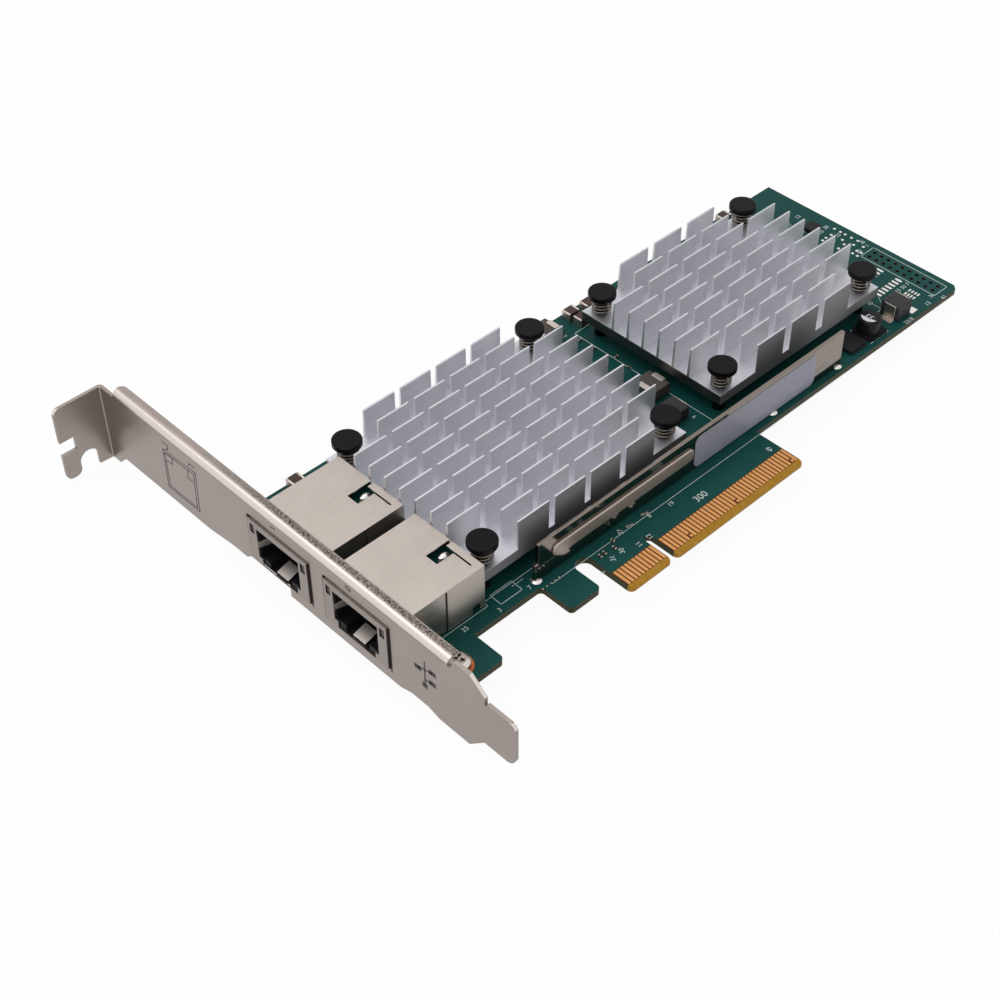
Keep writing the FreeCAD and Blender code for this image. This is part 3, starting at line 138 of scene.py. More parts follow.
# the room is white where it is seen or mirrored, and dimmer where it lights the card
world = bpy.data.worlds.new("studio_world")
bpy.context.scene.world = world
world.use_nodes = True
world.node_tree.nodes.clear()
tree = world.node_tree
seen = seen_by(tree, "Is Camera Ray", "Is Glossy Ray", "Is Transmission Ray")
dim = add_node(tree, "ShaderNodeBackground", {"Color": linear("#F4F6FB"), "Strength": 0.55})
white = add_node(tree, "ShaderNodeBackground", {"Color": (1, 1, 1, 1), "Strength": 1.0})
shown = add_node(tree, "ShaderNodeMixShader", {0: seen, 1: dim.outputs[0], 2: white.outputs[0]})
add_node(tree, "ShaderNodeOutputWorld", {"Surface": shown.outputs[0]})

# the floor is matt paper, lifted to white by a glow that leaves a little of the shadow
bpy.ops.mesh.primitive_plane_add(size=6, location=(middle.x, middle.y, cad_box[0][2]))
floor = bpy.context.object
floor.name = "floor"
paint = bpy.data.materials.new("white_floor")
paint.use_nodes = True
tree = paint.node_tree
tree.nodes.clear()
matt = add_node(tree, "ShaderNodeBsdfDiffuse", {"Color": linear("#FAFAFA")})
glow = add_node(tree, "ShaderNodeEmission", {"Color": (1, 1, 1, 1), "Strength": 1.0})
share = add_node(tree, "ShaderNodeMath", {0: seen_by(tree, "Is Camera Ray", "Is Glossy Ray"), 1: 0.94},
                 operation="MULTIPLY")
mixed = add_node(tree, "ShaderNodeMixShader",
                 {0: share.outputs[0], 1: matt.outputs[0], 2: glow.outputs[0]})
add_node(tree, "ShaderNodeOutputMaterial", {"Surface": mixed.outputs[0]})
floor.data.materials.append(paint)


# Circuit board: glass-epoxy laminate with copper inside, coated with green solder mask and sawn and
# milled to shape. The mask is a satin coat over the copper runs, which show through as faint lines;
# the cut edge shows the bare brown layers, and the tongue has no mask between its gold contacts.
def new_material(name, sockets):
    """A new material whose shader's sockets are set, returned with its node tree and shader."""
    made = bpy.data.materials.new(name)
    made.use_nodes = True
    shader = made.node_tree.nodes["Principled BSDF"]
    for socket, value in sockets.items():
        shader.inputs[socket].default_value = value
    return made, made.node_tree, shader


def paint_node(name, material):
    """Give a CAD node its material."""
    piece = frame["nodes"][name]
    piece.data.materials.clear()
    piece.data.materials.append(material)


def between(tree, value, low, high):
    """1 where value lies between low and high, else 0."""
    above = add_node(tree, "ShaderNodeMath", {0: value, 1: low}, operation="GREATER_THAN")
    below = add_node(tree, "ShaderNodeMath", {0: value, 1: high}, operation="LESS_THAN")
    both = add_node(tree, "ShaderNodeMath", {0: above.outputs[0], 1: below.outputs[0]},
                    operation="MULTIPLY")
    return both.outputs[0]


solder_mask, tree, shader = new_material("solder_mask_on_laminate", {
    "Roughness": 0.36, "Specular IOR Level": 0.08})
place = add_node(tree, "ShaderNodeTexCoord").outputs["Object"]
axes = add_node(tree, "ShaderNodeSeparateXYZ", {0: place})
# The scale of a noise or of cells is its grains to the millimetre, divided by MM, and that of a
# wave is a third of its lines. The copper runs have a pitch of 0.5 mm, wider than the real ones so
# that they show, in patches 9 mm wide that run three ways.
patches = add_node(tree, "ShaderNodeTexVoronoi", {"Vector": place, "Scale": 0.11 / MM})
patch = add_node(tree, "ShaderNodeSeparateColor", {0: patches.outputs["Color"]})
lengthways, crossways, slanting = (
    add_node(tree, "ShaderNodeTexWave", {"Vector": place, "Scale": 0.6 / MM, "Distortion": 0.4},
             bands_direction=way).outputs["Fac"] for way in ("X", "Y", "DIAGONAL"))
runs = lengthways
for channel, share, others in ((0, 0.35, crossways), (1, 0.6, slanting)):
    chosen = add_node(tree, "ShaderNodeMath", {0: patch.outputs[channel], 1: share},
                      operation="GREATER_THAN")
    runs = add_node(tree, "ShaderNodeMix", {0: chosen.outputs[0], 2: runs, 3: others}).outputs[0]
copper = add_node(tree, "ShaderNodeMapRange", {0: runs, 1: 0.55, 2: 0.75})
pour = add_node(tree, "ShaderNodeTexNoise", {"Vector": place, "Scale": 0.06 / MM, "Detail": 3.0})
pour_edge = add_node(tree, "ShaderNodeMapRange", {0: pour.outputs["Fac"], 1: 0.46, 2: 0.54})
lit = add_node(tree, "ShaderNodeMath", {0: copper.outputs[0], 1: pour_edge.outputs[0]},
               operation="MULTIPLY")
mask_colour = add_node(tree, "ShaderNodeMix", {
    0: lit.outputs[0], 6: linear("#164743"), 7: linear("#1B4F4B")}, data_type="RGBA")
# the glass layers of the cut edge, 0.2 mm apart, and the ground bevel of the tongue
layers = add_node(tree, "ShaderNodeTexWave", {"Vector": place, "Scale": 1.55 / MM, "Distortion": 1.0},
                  bands_direction="Z")
edge_colour = add_node(tree, "ShaderNodeMix", {
    0: layers.outputs["Fac"], 6: linear("#2C2E18"), 7: linear("#46442A")}, data_type="RGBA")
bevel_grain = add_node(tree, "ShaderNodeTexNoise", {"Vector": place, "Scale": 0.9 / MM, "Detail": 2.0})
bevel_colour = add_node(tree, "ShaderNodeMix", {
    0: bevel_grain.outputs["Fac"], 6: linear("#96691D"), 7: linear("#B98C36")}, data_type="RGBA")
facing = add_node(tree, "ShaderNodeSeparateXYZ", {
    0: add_node(tree, "ShaderNodeNewGeometry").outputs["Normal"]})
tilt = add_node(tree, "ShaderNodeMath", {0: facing.outputs["Z"]}, operation="ABSOLUTE")
flat = add_node(tree, "ShaderNodeMath", {0: tilt.outputs[0], 1: 0.97}, operation="GREATER_THAN")
# the tongue has no mask round its contacts
tongue_low, tongue_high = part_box("edge_contacts")
bare = add_node(tree, "ShaderNodeMath", {
    0: between(tree, axes.outputs["Y"], -1, tongue_high.y + 0.2 * MM),
    1: between(tree, axes.outputs["X"], tongue_low.x - 0.45 * MM, tongue_high.x + 0.45 * MM)},
    operation="MULTIPLY")
top_colour = add_node(tree, "ShaderNodeMix", {
    0: bare.outputs[0], 6: mask_colour.outputs[2], 7: linear("#4E2D14")}, data_type="RGBA")
front = between(tree, axes.outputs["Y"], -1, tongue_low.y)
side_colour = add_node(tree, "ShaderNodeMix", {
    0: front, 6: edge_colour.outputs[2], 7: bevel_colour.outputs[2]}, data_type="RGBA")
# the walls of the header's holes are plated with copper, drawn dark red: the copper's tone
# darkened by painted shade inside the holes
HEADER_LOW, HEADER_HIGH = Vector((103.6, 14.6)), Vector((108.4, 35.6))
shaded_barrels = add_node(tree, "ShaderNodeMath", {
    0: between(tree, axes.outputs["X"], HEADER_LOW.x * MM, HEADER_HIGH.x * MM),
    1: between(tree, axes.outputs["Y"], HEADER_LOW.y * MM, HEADER_HIGH.y * MM)},
    operation="MULTIPLY")
side_colour = add_node(tree, "ShaderNodeMix", {
    0: shaded_barrels.outputs[0], 6: side_colour.outputs[2], 7: linear("#4A1E16")}, data_type="RGBA")
surface = add_node(tree, "ShaderNodeMix", {
    0: flat.outputs[0], 6: side_colour.outputs[2], 7: top_colour.outputs[2]}, data_type="RGBA")
tree.links.new(surface.outputs[2], shader.inputs["Base Color"])
relief = add_node(tree, "ShaderNodeBump", {
    "Height": lit.outputs[0], "Strength": 0.15, "Distance": 0.03 * MM})
tree.links.new(relief.outputs[0], shader.inputs["Normal"])
paint_node("circuit_board", solder_mask)

# Silkscreen: white epoxy ink, screened on the board and baked, in lines 0.15 mm wide that frame
# each part, and plain numbers beside some of them.
INK_Z = 0.03


def mottled(name, dark, light, fineness, sockets, detail=3.0, stretch=None, relief=None):
    """A material that wanders between two tones, with fineness grains to the millimetre. stretch
    scales the grain along the axes, and relief is the strength and the depth in mm of its bumps."""
    made, tree, shader = new_material(name, sockets)
    place = add_node(tree, "ShaderNodeTexCoord").outputs["Object"]
    if stretch:
        place = add_node(tree, "ShaderNodeMapping", {"Vector": place, "Scale": stretch}).outputs[0]
    grain = add_node(tree, "ShaderNodeTexNoise", {
        "Vector": place, "Scale": fineness / MM, "Detail": detail}).outputs["Fac"]
    tone = add_node(tree, "ShaderNodeMix", {0: grain, 6: linear(dark), 7: linear(light)},
                    data_type="RGBA")
    tree.links.new(tone.outputs[2], shader.inputs["Base Color"])
    if relief:
        strength, depth = relief
        bump = add_node(tree, "ShaderNodeBump", {
            "Height": grain, "Strength": strength, "Distance": depth * MM})
        tree.links.new(bump.outputs[0], shader.inputs["Normal"])
    return made


def mm_box(node):
    """The low and the high corner of a CAD node, in millimetres."""
    return [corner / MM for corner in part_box(node)]


def new_piece(name):
    """An empty mesh in edit mode, to which primitives are then added at their places."""
    bpy.ops.object.select_all(action="DESELECT")
    made = bpy.data.objects.new(name, bpy.data.meshes.new(name))
    bpy.context.scene.collection.objects.link(made)
    bpy.context.view_layer.objects.active = made
    made.select_set(True)
    bpy.ops.object.mode_set(mode="EDIT")
    return made


def finish_piece(piece, material, replaced=()):
    """Leave edit mode, and give the piece its material, slot and body."""
    if bpy.context.object and bpy.context.object.mode == "EDIT":
        bpy.ops.object.mode_set(mode="OBJECT")
    piece.data.materials.clear()
    piece.data.materials.append(material)
    if replaced:
        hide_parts(*replaced)
    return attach(piece, "root")


def add_block(low, high):
    """A box between two corners, in millimetres, in the mesh being edited."""
    low = Vector(low)
    high = Vector(high)
    bpy.ops.mesh.primitive_cube_add(size=1, location=(low + high) / 2 * MM, scale=(high - low) * MM)


def add_line(start, end, width=0.15):
    """A flat bar of ink along the board from one point to another, in millimetres."""
    start = Vector((*start, INK_Z / 2))
    end = Vector((*end, INK_Z / 2))
    along = end - start
    bpy.ops.mesh.primitive_cube_add(
        size=1, location=(start + end) / 2 * MM, rotation=(0, 0, math.atan2(along.y, along.x)),
        scale=Vector((along.length + width, width, INK_Z)) * MM)


def add_frame(left, low, right, high, width=0.15):
    """Four lines of ink round a part."""
    corners = [(left, low), (right, low), (right, high), (left, high)]
    for start, end in zip(corners, corners[1:] + corners[:1]):
        add_line(start, end, width)


def add_word(text, size, thickness, place, weight=0):
    """Plain type as a mesh of its own, its size and thickness in millimetres, put at place."""
    bpy.ops.object.text_add(location=(0, 0, 0))
    word = bpy.context.object
    word.data.body = text
    word.data.size = size * MM
    word.data.extrude = thickness / 2 * MM
    word.data.offset = weight * MM
    bpy.ops.object.convert(target="MESH")
    word = bpy.context.object
    word.data.transform(place)
    return word


def join_pieces(pieces):
    """Join the pieces into the first of them, and return it."""
    bpy.ops.object.select_all(action="DESELECT")
    for piece in pieces:
        piece.select_set(True)
    bpy.context.view_layer.objects.active = pieces[0]
    bpy.ops.object.join()
    return pieces[0]


# matt white, and greyer in specks where the screen left it thin
ink = mottled("white_screened_ink", "#A9B8B2", "#DDE6E1", 2.5, {"Roughness": 0.6}, detail=2.0)
near_low, near_high = mm_box("near_heatsink")
far_low, far_high = mm_box("far_heatsink")
rail_low, rail_high = mm_box("stiffener_rail")
silk = new_piece("silkscreen_lines")
add_frame(near_low.x - 0.6, near_low.y - 0.7, near_high.x + 0.9, near_high.y + 0.7)
add_frame(far_low.x - 1.2, far_low.y - 1.1, far_high.x + 1.2, far_high.y + 1.0)
add_line((rail_low.x + 2.2, rail_low.y - 1.9), (rail_high.x - 1.0, rail_low.y - 1.9), width=0.12)
add_frame(-33.0, 14.7, -27.4, 17.8)
add_frame(*HEADER_LOW, *HEADER_HIGH)
add_line((79.6, 14.05), (85.9, 14.05))
add_line((85.9, 14.05), (85.9, 16.2))
add_line((-28.3, 16.6), (-25.4, 16.6), width=0.12)
for port in range(2):
    low, high = mm_box(f"port_{port}_shield")
    add_frame(low.x + 6, low.y - 0.35, high.x + 0.35, high.y + 0.35, width=0.12)
add_line((93.0, 21.6), (96.2, 25.8), width=0.12)
finish_piece(silk, ink)

# the numbers: their text, place in millimetres and turn in degrees
numbers = []
for text, x, y, turn in (
        ("1", -12.6, 6.6, 90), ("11", -2.0, 6.6, 90), ("12", 1.0, 6.6, 90), ("49", 37.5, 6.6, 90),
        ("1", 107.6, 36.6, 0), ("20", 104.0, 36.6, 0), ("27", -2.6, 11.4, 60), ("31", -9.0, 7.4, 60),
        ("30", -6.2, 7.6, 60), ("300", 14.5, 7.2, 0), ("8", 4.4, 10.9, 0), ("22", 40.5, 15.9, 0),
        ("7", -26.4, 13.6, 0), ("13", 99.4, 13.4, 0), ("5", 96.4, 62.4, 0), ("16", 91.4, 63.6, 0),
        ("4", -44.2, 64.0, 90), ("9", 34.0, 24.6, 90), ("2", 33.6, 62.6, 90), ("101", -50.8, 7.0, 90),
        ("220", 30.0, 19.6, 0), ("42", 101.2, 50.6, 0), ("17", 100.4, 54.6, 0), ("100", 101.0, 47.6, 0),
        ("26", 98.6, 31.6, 0), ("33", 90.6, 12.6, 0), ("50", 100.4, 21.0, 0), ("61", 104.0, 12.4, 0),
        ("18", 92.0, 12.6, 0), ("207", 23.4, 33.0, 0), ("14", -46.8, 66.4, 0), ("25", -43.0, 14.4, 0),
        ("3", -34.6, 13.4, 0), ("19", 9.6, 10.2, 0), ("55", 98.2, 58.4, 0), ("12", 104.6, 55.4, 0),
        ("64", 92.8, 66.0, 0), ("71", 99.6, 41.0, 90), ("104", 101.4, 39.2, 0), ("5", 103.6, 43.4, 0),
        ("23", 105.6, 44.0, 0), ("81", 108.8, 38.2, 90), ("45", 100.2, 43.4, 0), ("6", 99.0, 36.4, 0),
        ("92", 96.6, 31.0, 0), ("310", 103.0, 47.6, 0), ("28", 106.0, 48.0, 0), ("15", 98.4, 21.0, 0),
        ("7", 102.4, 21.0, 0), ("36", 102.4, 14.6, 0), ("9", 103.0, 23.4, 90), ("60", 90.2, 22.6, 0)):
    numbers.append(add_word(text, 2.3 if text == "300" else 1.5, INK_Z,
                            Matrix.Translation(Vector((x, y, INK_Z / 2)) * MM)
                            @ Matrix.Rotation(math.radians(turn), 4, "Z")))
numbers = join_pieces(numbers)
numbers.name = "silkscreen_numbers"
finish_piece(numbers, ink)


# Tinned pads and test points: copper lands left clear of the mask, dipped in solder and levelled by
# hot air. The rail is held by three domed joints of the same solder.
def add_turned(x, y, profile, sides=40):
    """A turned solid from (radius, height) pairs in millimetres, in the mesh being edited."""
    bpy.ops.mesh.select_all(action="DESELECT")
    radius, z = profile[0]
    bpy.ops.mesh.primitive_circle_add(vertices=sides, radius=radius * MM, fill_type="NGON",
                                      location=Vector((x, y, z)) * MM)
    for wide, high in profile[1:]:
        bpy.ops.mesh.extrude_region_move(TRANSFORM_OT_translate={"value": (0, 0, (high - z) * MM)})
        bpy.ops.transform.resize(value=(wide / radius, wide / radius, 1),
                                 center_override=Vector((x, y, high)) * MM)
        radius, z = wide, high
    bpy.ops.mesh.select_linked()
    bpy.ops.mesh.normals_make_consistent(inside=False)


# bright, with soft dimples; they are drawn coarser than solder's own so that they show
tin = mottled("levelled_solder", "#C9C3BF", "#F2EFEC", 1.4, {"Metallic": 1.0, "Roughness": 0.3},
              relief=(0.3, 0.04))
LAND = 0.05
pads = new_piece("tinned_pads")
# two rows of seven lands, four pairs of smaller ones, and a few on their own
for index in range(7):
    x = 94.9 + 1.25 * index
    add_block((x - 0.3, 22.9, 0), (x + 0.3, 24.7, LAND))
    add_block((x - 0.3, 28.2, 0), (x + 0.3, 30.0, LAND))
for row in range(4):
    y = 17.1 + 0.8 * row
    add_block((99.1, y, 0), (100.1, y + 0.4, LAND))
    add_block((100.7, y, 0), (101.7, y + 0.4, LAND))
for x, y in ((4.1, 12.5), (5.0, 12.2), (-0.5, 12.3), (0.4, 12.0)):
    add_block((x - 0.4, y - 0.28, 0), (x + 0.4, y + 0.28, LAND))
add_block((94.6, 14.1, 0), (96.7, 15.7, LAND))
# the test points, with their radius and sides: round ones near the header, and a row of small ones
test_points = [(x, y, 0.36, 16) for x, y in (
    (107.8, 46.7), (107.8, 44.9), (105.3, 45.7), (103.5, 45.8), (102.1, 45.7), (107.8, 43.5),
    (107.8, 41.6), (105.6, 42.6), (107.9, 39.8), (105.9, 39.5), (104.5, 41.2), (102.3, 41.1),
    (106.9, 37.4), (104.6, 37.5), (103.1, 37.6), (104.7, 36.3), (103.1, 36.2))]
test_points += [(-24.5 + 1.1 * index, 12.0, 0.22, 12) for index in range(5)]
for x, y, radius, sides in test_points:
    bpy.ops.mesh.primitive_cylinder_add(vertices=sides, radius=radius * MM, depth=LAND * MM,
                                        location=Vector((x, y, LAND / 2)) * MM)
finish_piece(pads, tin)
joints = new_piece("rail_solder_joints")
for x in (-23.8, 46.4, 68.1):
    add_turned(x, rail_high.y - 0.45, [(1.2, 0), (1.1, 0.08), (0.7, 0.3), (0.4, 0.4)], 28)
finish_piece(joints, tin)

# Lands of the bracket's screws: bare copper rings round two holes, etched with the board and
# reddened by the solder oven, which leaves them half dull and mottled.
copper_land = mottled("reddened_copper_land", "#9A4A22", "#C8743C", 1.1,
                      {"Metallic": 0.6, "Roughness": 0.45})
lands = new_piece("bracket_screw_lands")
for y in (9.3, 64.4):
    add_turned(-49.2, y, [(3.0, 0), (2.95, 0.03), (1.6, 0.03)], 48)
finish_piece(lands, copper_land)

# Gold contacts: hard gold plated over nickel, on the fingers of the tongue and on the jacks' spring
# wires. The socket rubs the fingers along their length, which leaves a warm, streaked shine.
gold = mottled("hard_gold_plating", "#C08046", "#DFA76E", 0.9, {"Metallic": 1.0, "Roughness": 0.33},
               detail=2.0, stretch=(4.0, 0.25, 1.0))
paint_node("edge_contacts", gold)
# the three fingers that start late have a short land of the same gold ahead of them
stubs = new_piece("contact_stubs")
for x in (6.65, 20.7, 37.7):
    add_block((x - 0.35, 1.5, 0), (x + 0.35, 2.2, LAND))
finish_piece(stubs, gold)
for port in range(2):
    paint_node(f"port_{port}_contacts", gold)


# Bracket, stiffener rail and jack shields: mild steel and brass sheet, nickel or tin plated, folded
# in a press. The plating is satin, with fine rolling lines along the sheet. A highlight on the
# folds, a dark reflection on the lip and shade round the mouths are painted into the colour.
def merged_copy(node, name):
    """A copy of a CAD node with its loose triangles merged into whole faces."""
    bpy.ops.object.select_all(action="DESELECT")
    made = frame["nodes"][node].copy()
    made.data = made.data.copy()
    made.name = name
    for key in list(made.keys()):
        del made[key]
    made.parent = None
    bpy.context.scene.collection.objects.link(made)
    bpy.context.view_layer.objects.active = made
    made.select_set(True)
    bpy.ops.object.mode_set(mode="EDIT")
    bpy.ops.mesh.select_all(action="SELECT")
    bpy.ops.mesh.remove_doubles(threshold=0.001 * MM)
    bpy.ops.mesh.tris_convert_to_quads(face_threshold=math.radians(1), shape_threshold=math.pi)
    bpy.ops.object.mode_set(mode="OBJECT")
    return made


def round_edges(made, radius):
    """Round the sharp edges, and keep the flat faces flat in the light."""
    bpy.ops.object.shade_smooth()
    rounding = made.modifiers.new("rounding", "BEVEL")
    rounding.width = radius * MM
    rounding.segments = 2
    rounding.limit_method = "ANGLE"
    rounding.angle_limit = math.radians(40)
    bpy.ops.object.modifier_apply(modifier="rounding")
    flats = made.modifiers.new("flats", "WEIGHTED_NORMAL")
    flats.mode = "FACE_AREA"
    flats.weight = 50
    bpy.ops.object.modifier_apply(modifier="flats")


def dressed_copy(node, name, radius):
    """A merged copy of a CAD node with its edges rounded by radius, in millimetres."""
    made = merged_copy(node, name)
    round_edges(made, radius)
    return made


def plated_sheet(name, dark, light, roughness, stretch):
    """Satin plating: fine lines along stretch's small way, with soft clouding. It is returned with
    its tree, its shader, and the outputs that give its tone and its roughness."""
    made, tree, shader = new_material(name, {"Metallic": 1.0})
    place = add_node(tree, "ShaderNodeTexCoord").outputs["Object"]
    stretched = add_node(tree, "ShaderNodeMapping", {"Vector": place, "Scale": stretch})
    grain = add_node(tree, "ShaderNodeTexNoise", {
        "Vector": stretched.outputs[0], "Scale": 2.2 / MM, "Detail": 3.0})
    cloud = add_node(tree, "ShaderNodeTexNoise", {
        "Vector": place, "Scale": 0.095 / MM, "Detail": 3.0})
    blend = add_node(tree, "ShaderNodeMath", {0: grain.outputs["Fac"], 1: 0.5},
                     operation="MULTIPLY")
    blend = add_node(tree, "ShaderNodeMath", {0: cloud.outputs["Fac"], 1: 0.5, 2: blend.outputs[0]},
                     operation="MULTIPLY_ADD")
    tone = add_node(tree, "ShaderNodeMix", {
        0: blend.outputs[0], 6: linear(dark), 7: linear(light)}, data_type="RGBA")
    tree.links.new(tone.outputs[2], shader.inputs["Base Color"])
    dull = add_node(tree, "ShaderNodeMapRange", {
        0: blend.outputs[0], 3: roughness - 0.06, 4: roughness + 0.08})
    tree.links.new(dull.outputs[0], shader.inputs["Roughness"])
    relief = add_node(tree, "ShaderNodeBump", {
        "Height": grain.outputs["Fac"], "Strength": 0.12, "Distance": 0.02 * MM})
    tree.links.new(relief.outputs[0], shader.inputs["Normal"])
    return made, tree, shader, tone.outputs[2], dull.outputs[0]


# nickel: warm grey, with rolling lines along the bracket
nickel, tree, shader, satin, _ = plated_sheet(
    "satin_nickel_plate", "#8A7F79", "#A69C96", 0.34, (1.0, 0.12, 1.0))
# a dark, grainy band along the lip's crown, behind its bright bend: a painted reflection of dark
# parts, with the plating's grain
place = add_node(tree, "ShaderNodeTexCoord").outputs["Object"]
axes = add_node(tree, "ShaderNodeSeparateXYZ", {0: place})
speckle = add_node(tree, "ShaderNodeTexNoise", {"Vector": place, "Scale": 1.5 / MM, "Detail": 4.0})
crown_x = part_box("bracket")[0].x + 13.35 * MM
away = add_node(tree, "ShaderNodeMath", {0: axes.outputs["X"], 1: crown_x}, operation="SUBTRACT")
away = add_node(tree, "ShaderNodeMath", {0: away.outputs[0]}, operation="ABSOLUTE")
ragged = add_node(tree, "ShaderNodeMath", {
    0: speckle.outputs["Fac"], 1: 0.5 * MM, 2: away.outputs[0]}, operation="MULTIPLY_ADD")
band = add_node(tree, "ShaderNodeMapRange", {0: ragged.outputs[0], 1: 1.05 * MM, 2: 0.8 * MM})
fade = add_node(tree, "ShaderNodeMapRange", {0: axes.outputs["Y"], 1: 78 * MM, 2: 50 * MM})
crown = add_node(tree, "ShaderNodeMath", {0: axes.outputs["Z"], 1: 15.2 * MM},
                 operation="GREATER_THAN")
pebble = add_node(tree, "ShaderNodeTexNoise", {"Vector": place, "Scale": 3.4 / MM, "Detail": 1.0})
pebble = add_node(tree, "ShaderNodeMapRange", {
    0: pebble.outputs["Fac"], 1: 0.38, 2: 0.6, 3: 0.95, 4: 0.2})
painted_dark_band = band
for limit in (fade, crown, pebble):
    painted_dark_band = add_node(tree, "ShaderNodeMath", {0: painted_dark_band.outputs[0], 1: limit.outputs[0]},
                       operation="MULTIPLY")
facing = add_node(tree, "ShaderNodeSeparateXYZ", {
    0: add_node(tree, "ShaderNodeNewGeometry").outputs["Normal"]})
# the bends that face half up are lightened towards a pale tone: a painted highlight
bend = between(tree, facing.outputs["Z"], 0.3, 0.93)
bend = add_node(tree, "ShaderNodeMath", {0: bend, 1: 0.8}, operation="MULTIPLY")
painted_light_mix = add_node(tree, "ShaderNodeMix", {0: bend.outputs[0], 6: satin, 7: linear("#E4DCD6")},
                  data_type="RGBA")
painted_light_and_shade = add_node(tree, "ShaderNodeMix", {
    0: painted_dark_band.outputs[0], 6: painted_light_mix.outputs[2], 7: linear("#2A2522")}, data_type="RGBA")
# a dark line round the jacks' cutouts: a painted shadow of the gap between the bracket and shields
for port in range(2):
    low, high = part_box(f"port_{port}_shield")
    off_y = add_node(tree, "ShaderNodeMath", {0: axes.outputs["Y"], 1: (low.y + high.y) / 2},
                     operation="SUBTRACT")
    off_y = add_node(tree, "ShaderNodeMath", {0: off_y.outputs[0]}, operation="ABSOLUTE")
    off_y = add_node(tree, "ShaderNodeMath", {
        0: off_y.outputs[0], 1: (high.y - low.y) / 2 - 0.45 * MM}, operation="SUBTRACT")
    off_z = add_node(tree, "ShaderNodeMath", {0: axes.outputs["Z"], 1: high.z},
                     operation="SUBTRACT")
    outside = add_node(tree, "ShaderNodeMath", {0: off_y.outputs[0], 1: off_z.outputs[0]},
                       operation="MAXIMUM")
    line = add_node(tree, "ShaderNodeMapRange", {0: outside.outputs[0], 1: 0.4 * MM, 2: 0.3 * MM})
    beyond = add_node(tree, "ShaderNodeMath", {0: outside.outputs[0], 1: -0.2 * MM},
                      operation="GREATER_THAN")
    above = add_node(tree, "ShaderNodeMath", {0: axes.outputs["Z"], 1: -0.5 * MM},
                     operation="GREATER_THAN")
    for limit in (beyond, above):
        line = add_node(tree, "ShaderNodeMath", {0: line.outputs[0], 1: limit.outputs[0]},
                        operation="MULTIPLY")
    painted_light_and_shade = add_node(tree, "ShaderNodeMix", {
        0: line.outputs[0], 6: painted_light_and_shade.outputs[2], 7: linear("#2B211E")}, data_type="RGBA")
tree.links.new(painted_light_and_shade.outputs[2], shader.inputs["Base Color"])
bracket = dressed_copy("bracket", "folded_bracket", 0.12)
finish_piece(bracket, nickel, ["bracket"])

# Bracket print: dark grey ink, pad-printed on the face. Plain port numbers, a line drawing of the
# lamps' places, and a tree of squares and lines.
FACE = -58.75


def add_stroke(start, end, width=0.24):
    """A flat bar on the bracket's face between two (y, z) points, in millimetres."""
    start = Vector((FACE - 0.005, *start))
    end = Vector((FACE - 0.005, *end))
    along = end - start
    bpy.ops.mesh.primitive_cube_add(
        size=1, location=(start + end) / 2 * MM, rotation=(math.atan2(along.z, along.y), 0, 0),
        scale=Vector((0.02, along.length + width, width)) * MM)


# matt, with paler flecks where the pad lifted it
legend = mottled("dark_printed_ink", "#2E2B2C", "#55504F", 2.6,
                 {"Roughness": 0.6, "Specular IOR Level": 0.2}, detail=2.0)
printed = new_piece("bracket_print")
for points in (((85.1, 10.4), (74.3, 11.0), (74.9, 0.0), (85.3, 0.0), (85.1, 10.4)),
               ((84.6, 9.7), (75.0, 10.2), (75.6, 0.6), (84.6, 0.6), (84.6, 9.7)),
               ((84.2, 9.7), (82.1, 9.8), (82.5, 7.9), (84.4, 7.8)),
               ((77.0, 9.9), (77.3, 7.7), (75.3, 7.8)),
               ((84.8, 12.5), (83.1, 12.6), (83.2, 11.5), (84.1, 10.9)),
               ((76.4, 11.6), (76.0, 12.4), (74.4, 12.4))):
    for start, end in zip(points, points[1:]):
        add_stroke(start, end)
for start, end in (((7.5, 10.0), (7.55, 4.2)), ((9.3, 7.4), (5.6, 8.5)), ((7.5, 5.1), (5.8, 5.6))):
    add_stroke(start, end, width=0.34)
for y, z in ((9.4, 7.2), (5.5, 8.5), (5.6, 5.6)):
    add_stroke((y - 0.3, z), (y + 0.3, z), width=1.2)
add_stroke((7.6, 3.6), (7.7, 3.6), width=1.3)
bpy.ops.object.mode_set(mode="OBJECT")
# type that lies flat is turned to stand on the face, to be read from outside
on_face = Matrix(((0, 0, -1), (0, -1, 0), (-1, 0, 0))).to_4x4()
marks = [add_word(text, 2.2, 0.02, Matrix.Translation(Vector((FACE - 0.005, y, z)) * MM) @ on_face,
                  weight=0.04) for text, y, z in (("0", 28.8, 13.9), ("1", 50.6, 13.9))]
finish_piece(join_pieces([printed, *marks]), legend)

# Stiffener rail, and the two jack shields: each has a stop folded up behind its mouth, which the
# plug's latch rests on, and a blob of solder shows on the inner board through its window. The rail
# is plated bright, so it mirrors the room, and its pressed bead is drawn paler and rougher.
rail_plate, tree, shader, satin, gloss = plated_sheet(
    "bright_nickel_plate", "#6F655F", "#91877F", 0.11, (0.12, 1.0, 1.0))
across = add_node(tree, "ShaderNodeSeparateXYZ", {
    0: add_node(tree, "ShaderNodeTexCoord").outputs["Object"]})
bead = between(tree, across.outputs["Y"], 13.6 * MM, 13.9 * MM)
pale_bead = add_node(tree, "ShaderNodeMix", {0: bead, 6: satin, 7: linear("#B5AAA2")},
                   data_type="RGBA")
tree.links.new(pale_bead.outputs[2], shader.inputs["Base Color"])
dull = add_node(tree, "ShaderNodeMath", {0: bead, 1: 0.35, 2: gloss}, operation="MULTIPLY_ADD")
tree.links.new(dull.outputs[0], shader.inputs["Roughness"])
rail = dressed_copy("stiffener_rail", "folded_rail", 0.1)
finish_piece(rail, rail_plate, ["stiffener_rail"])
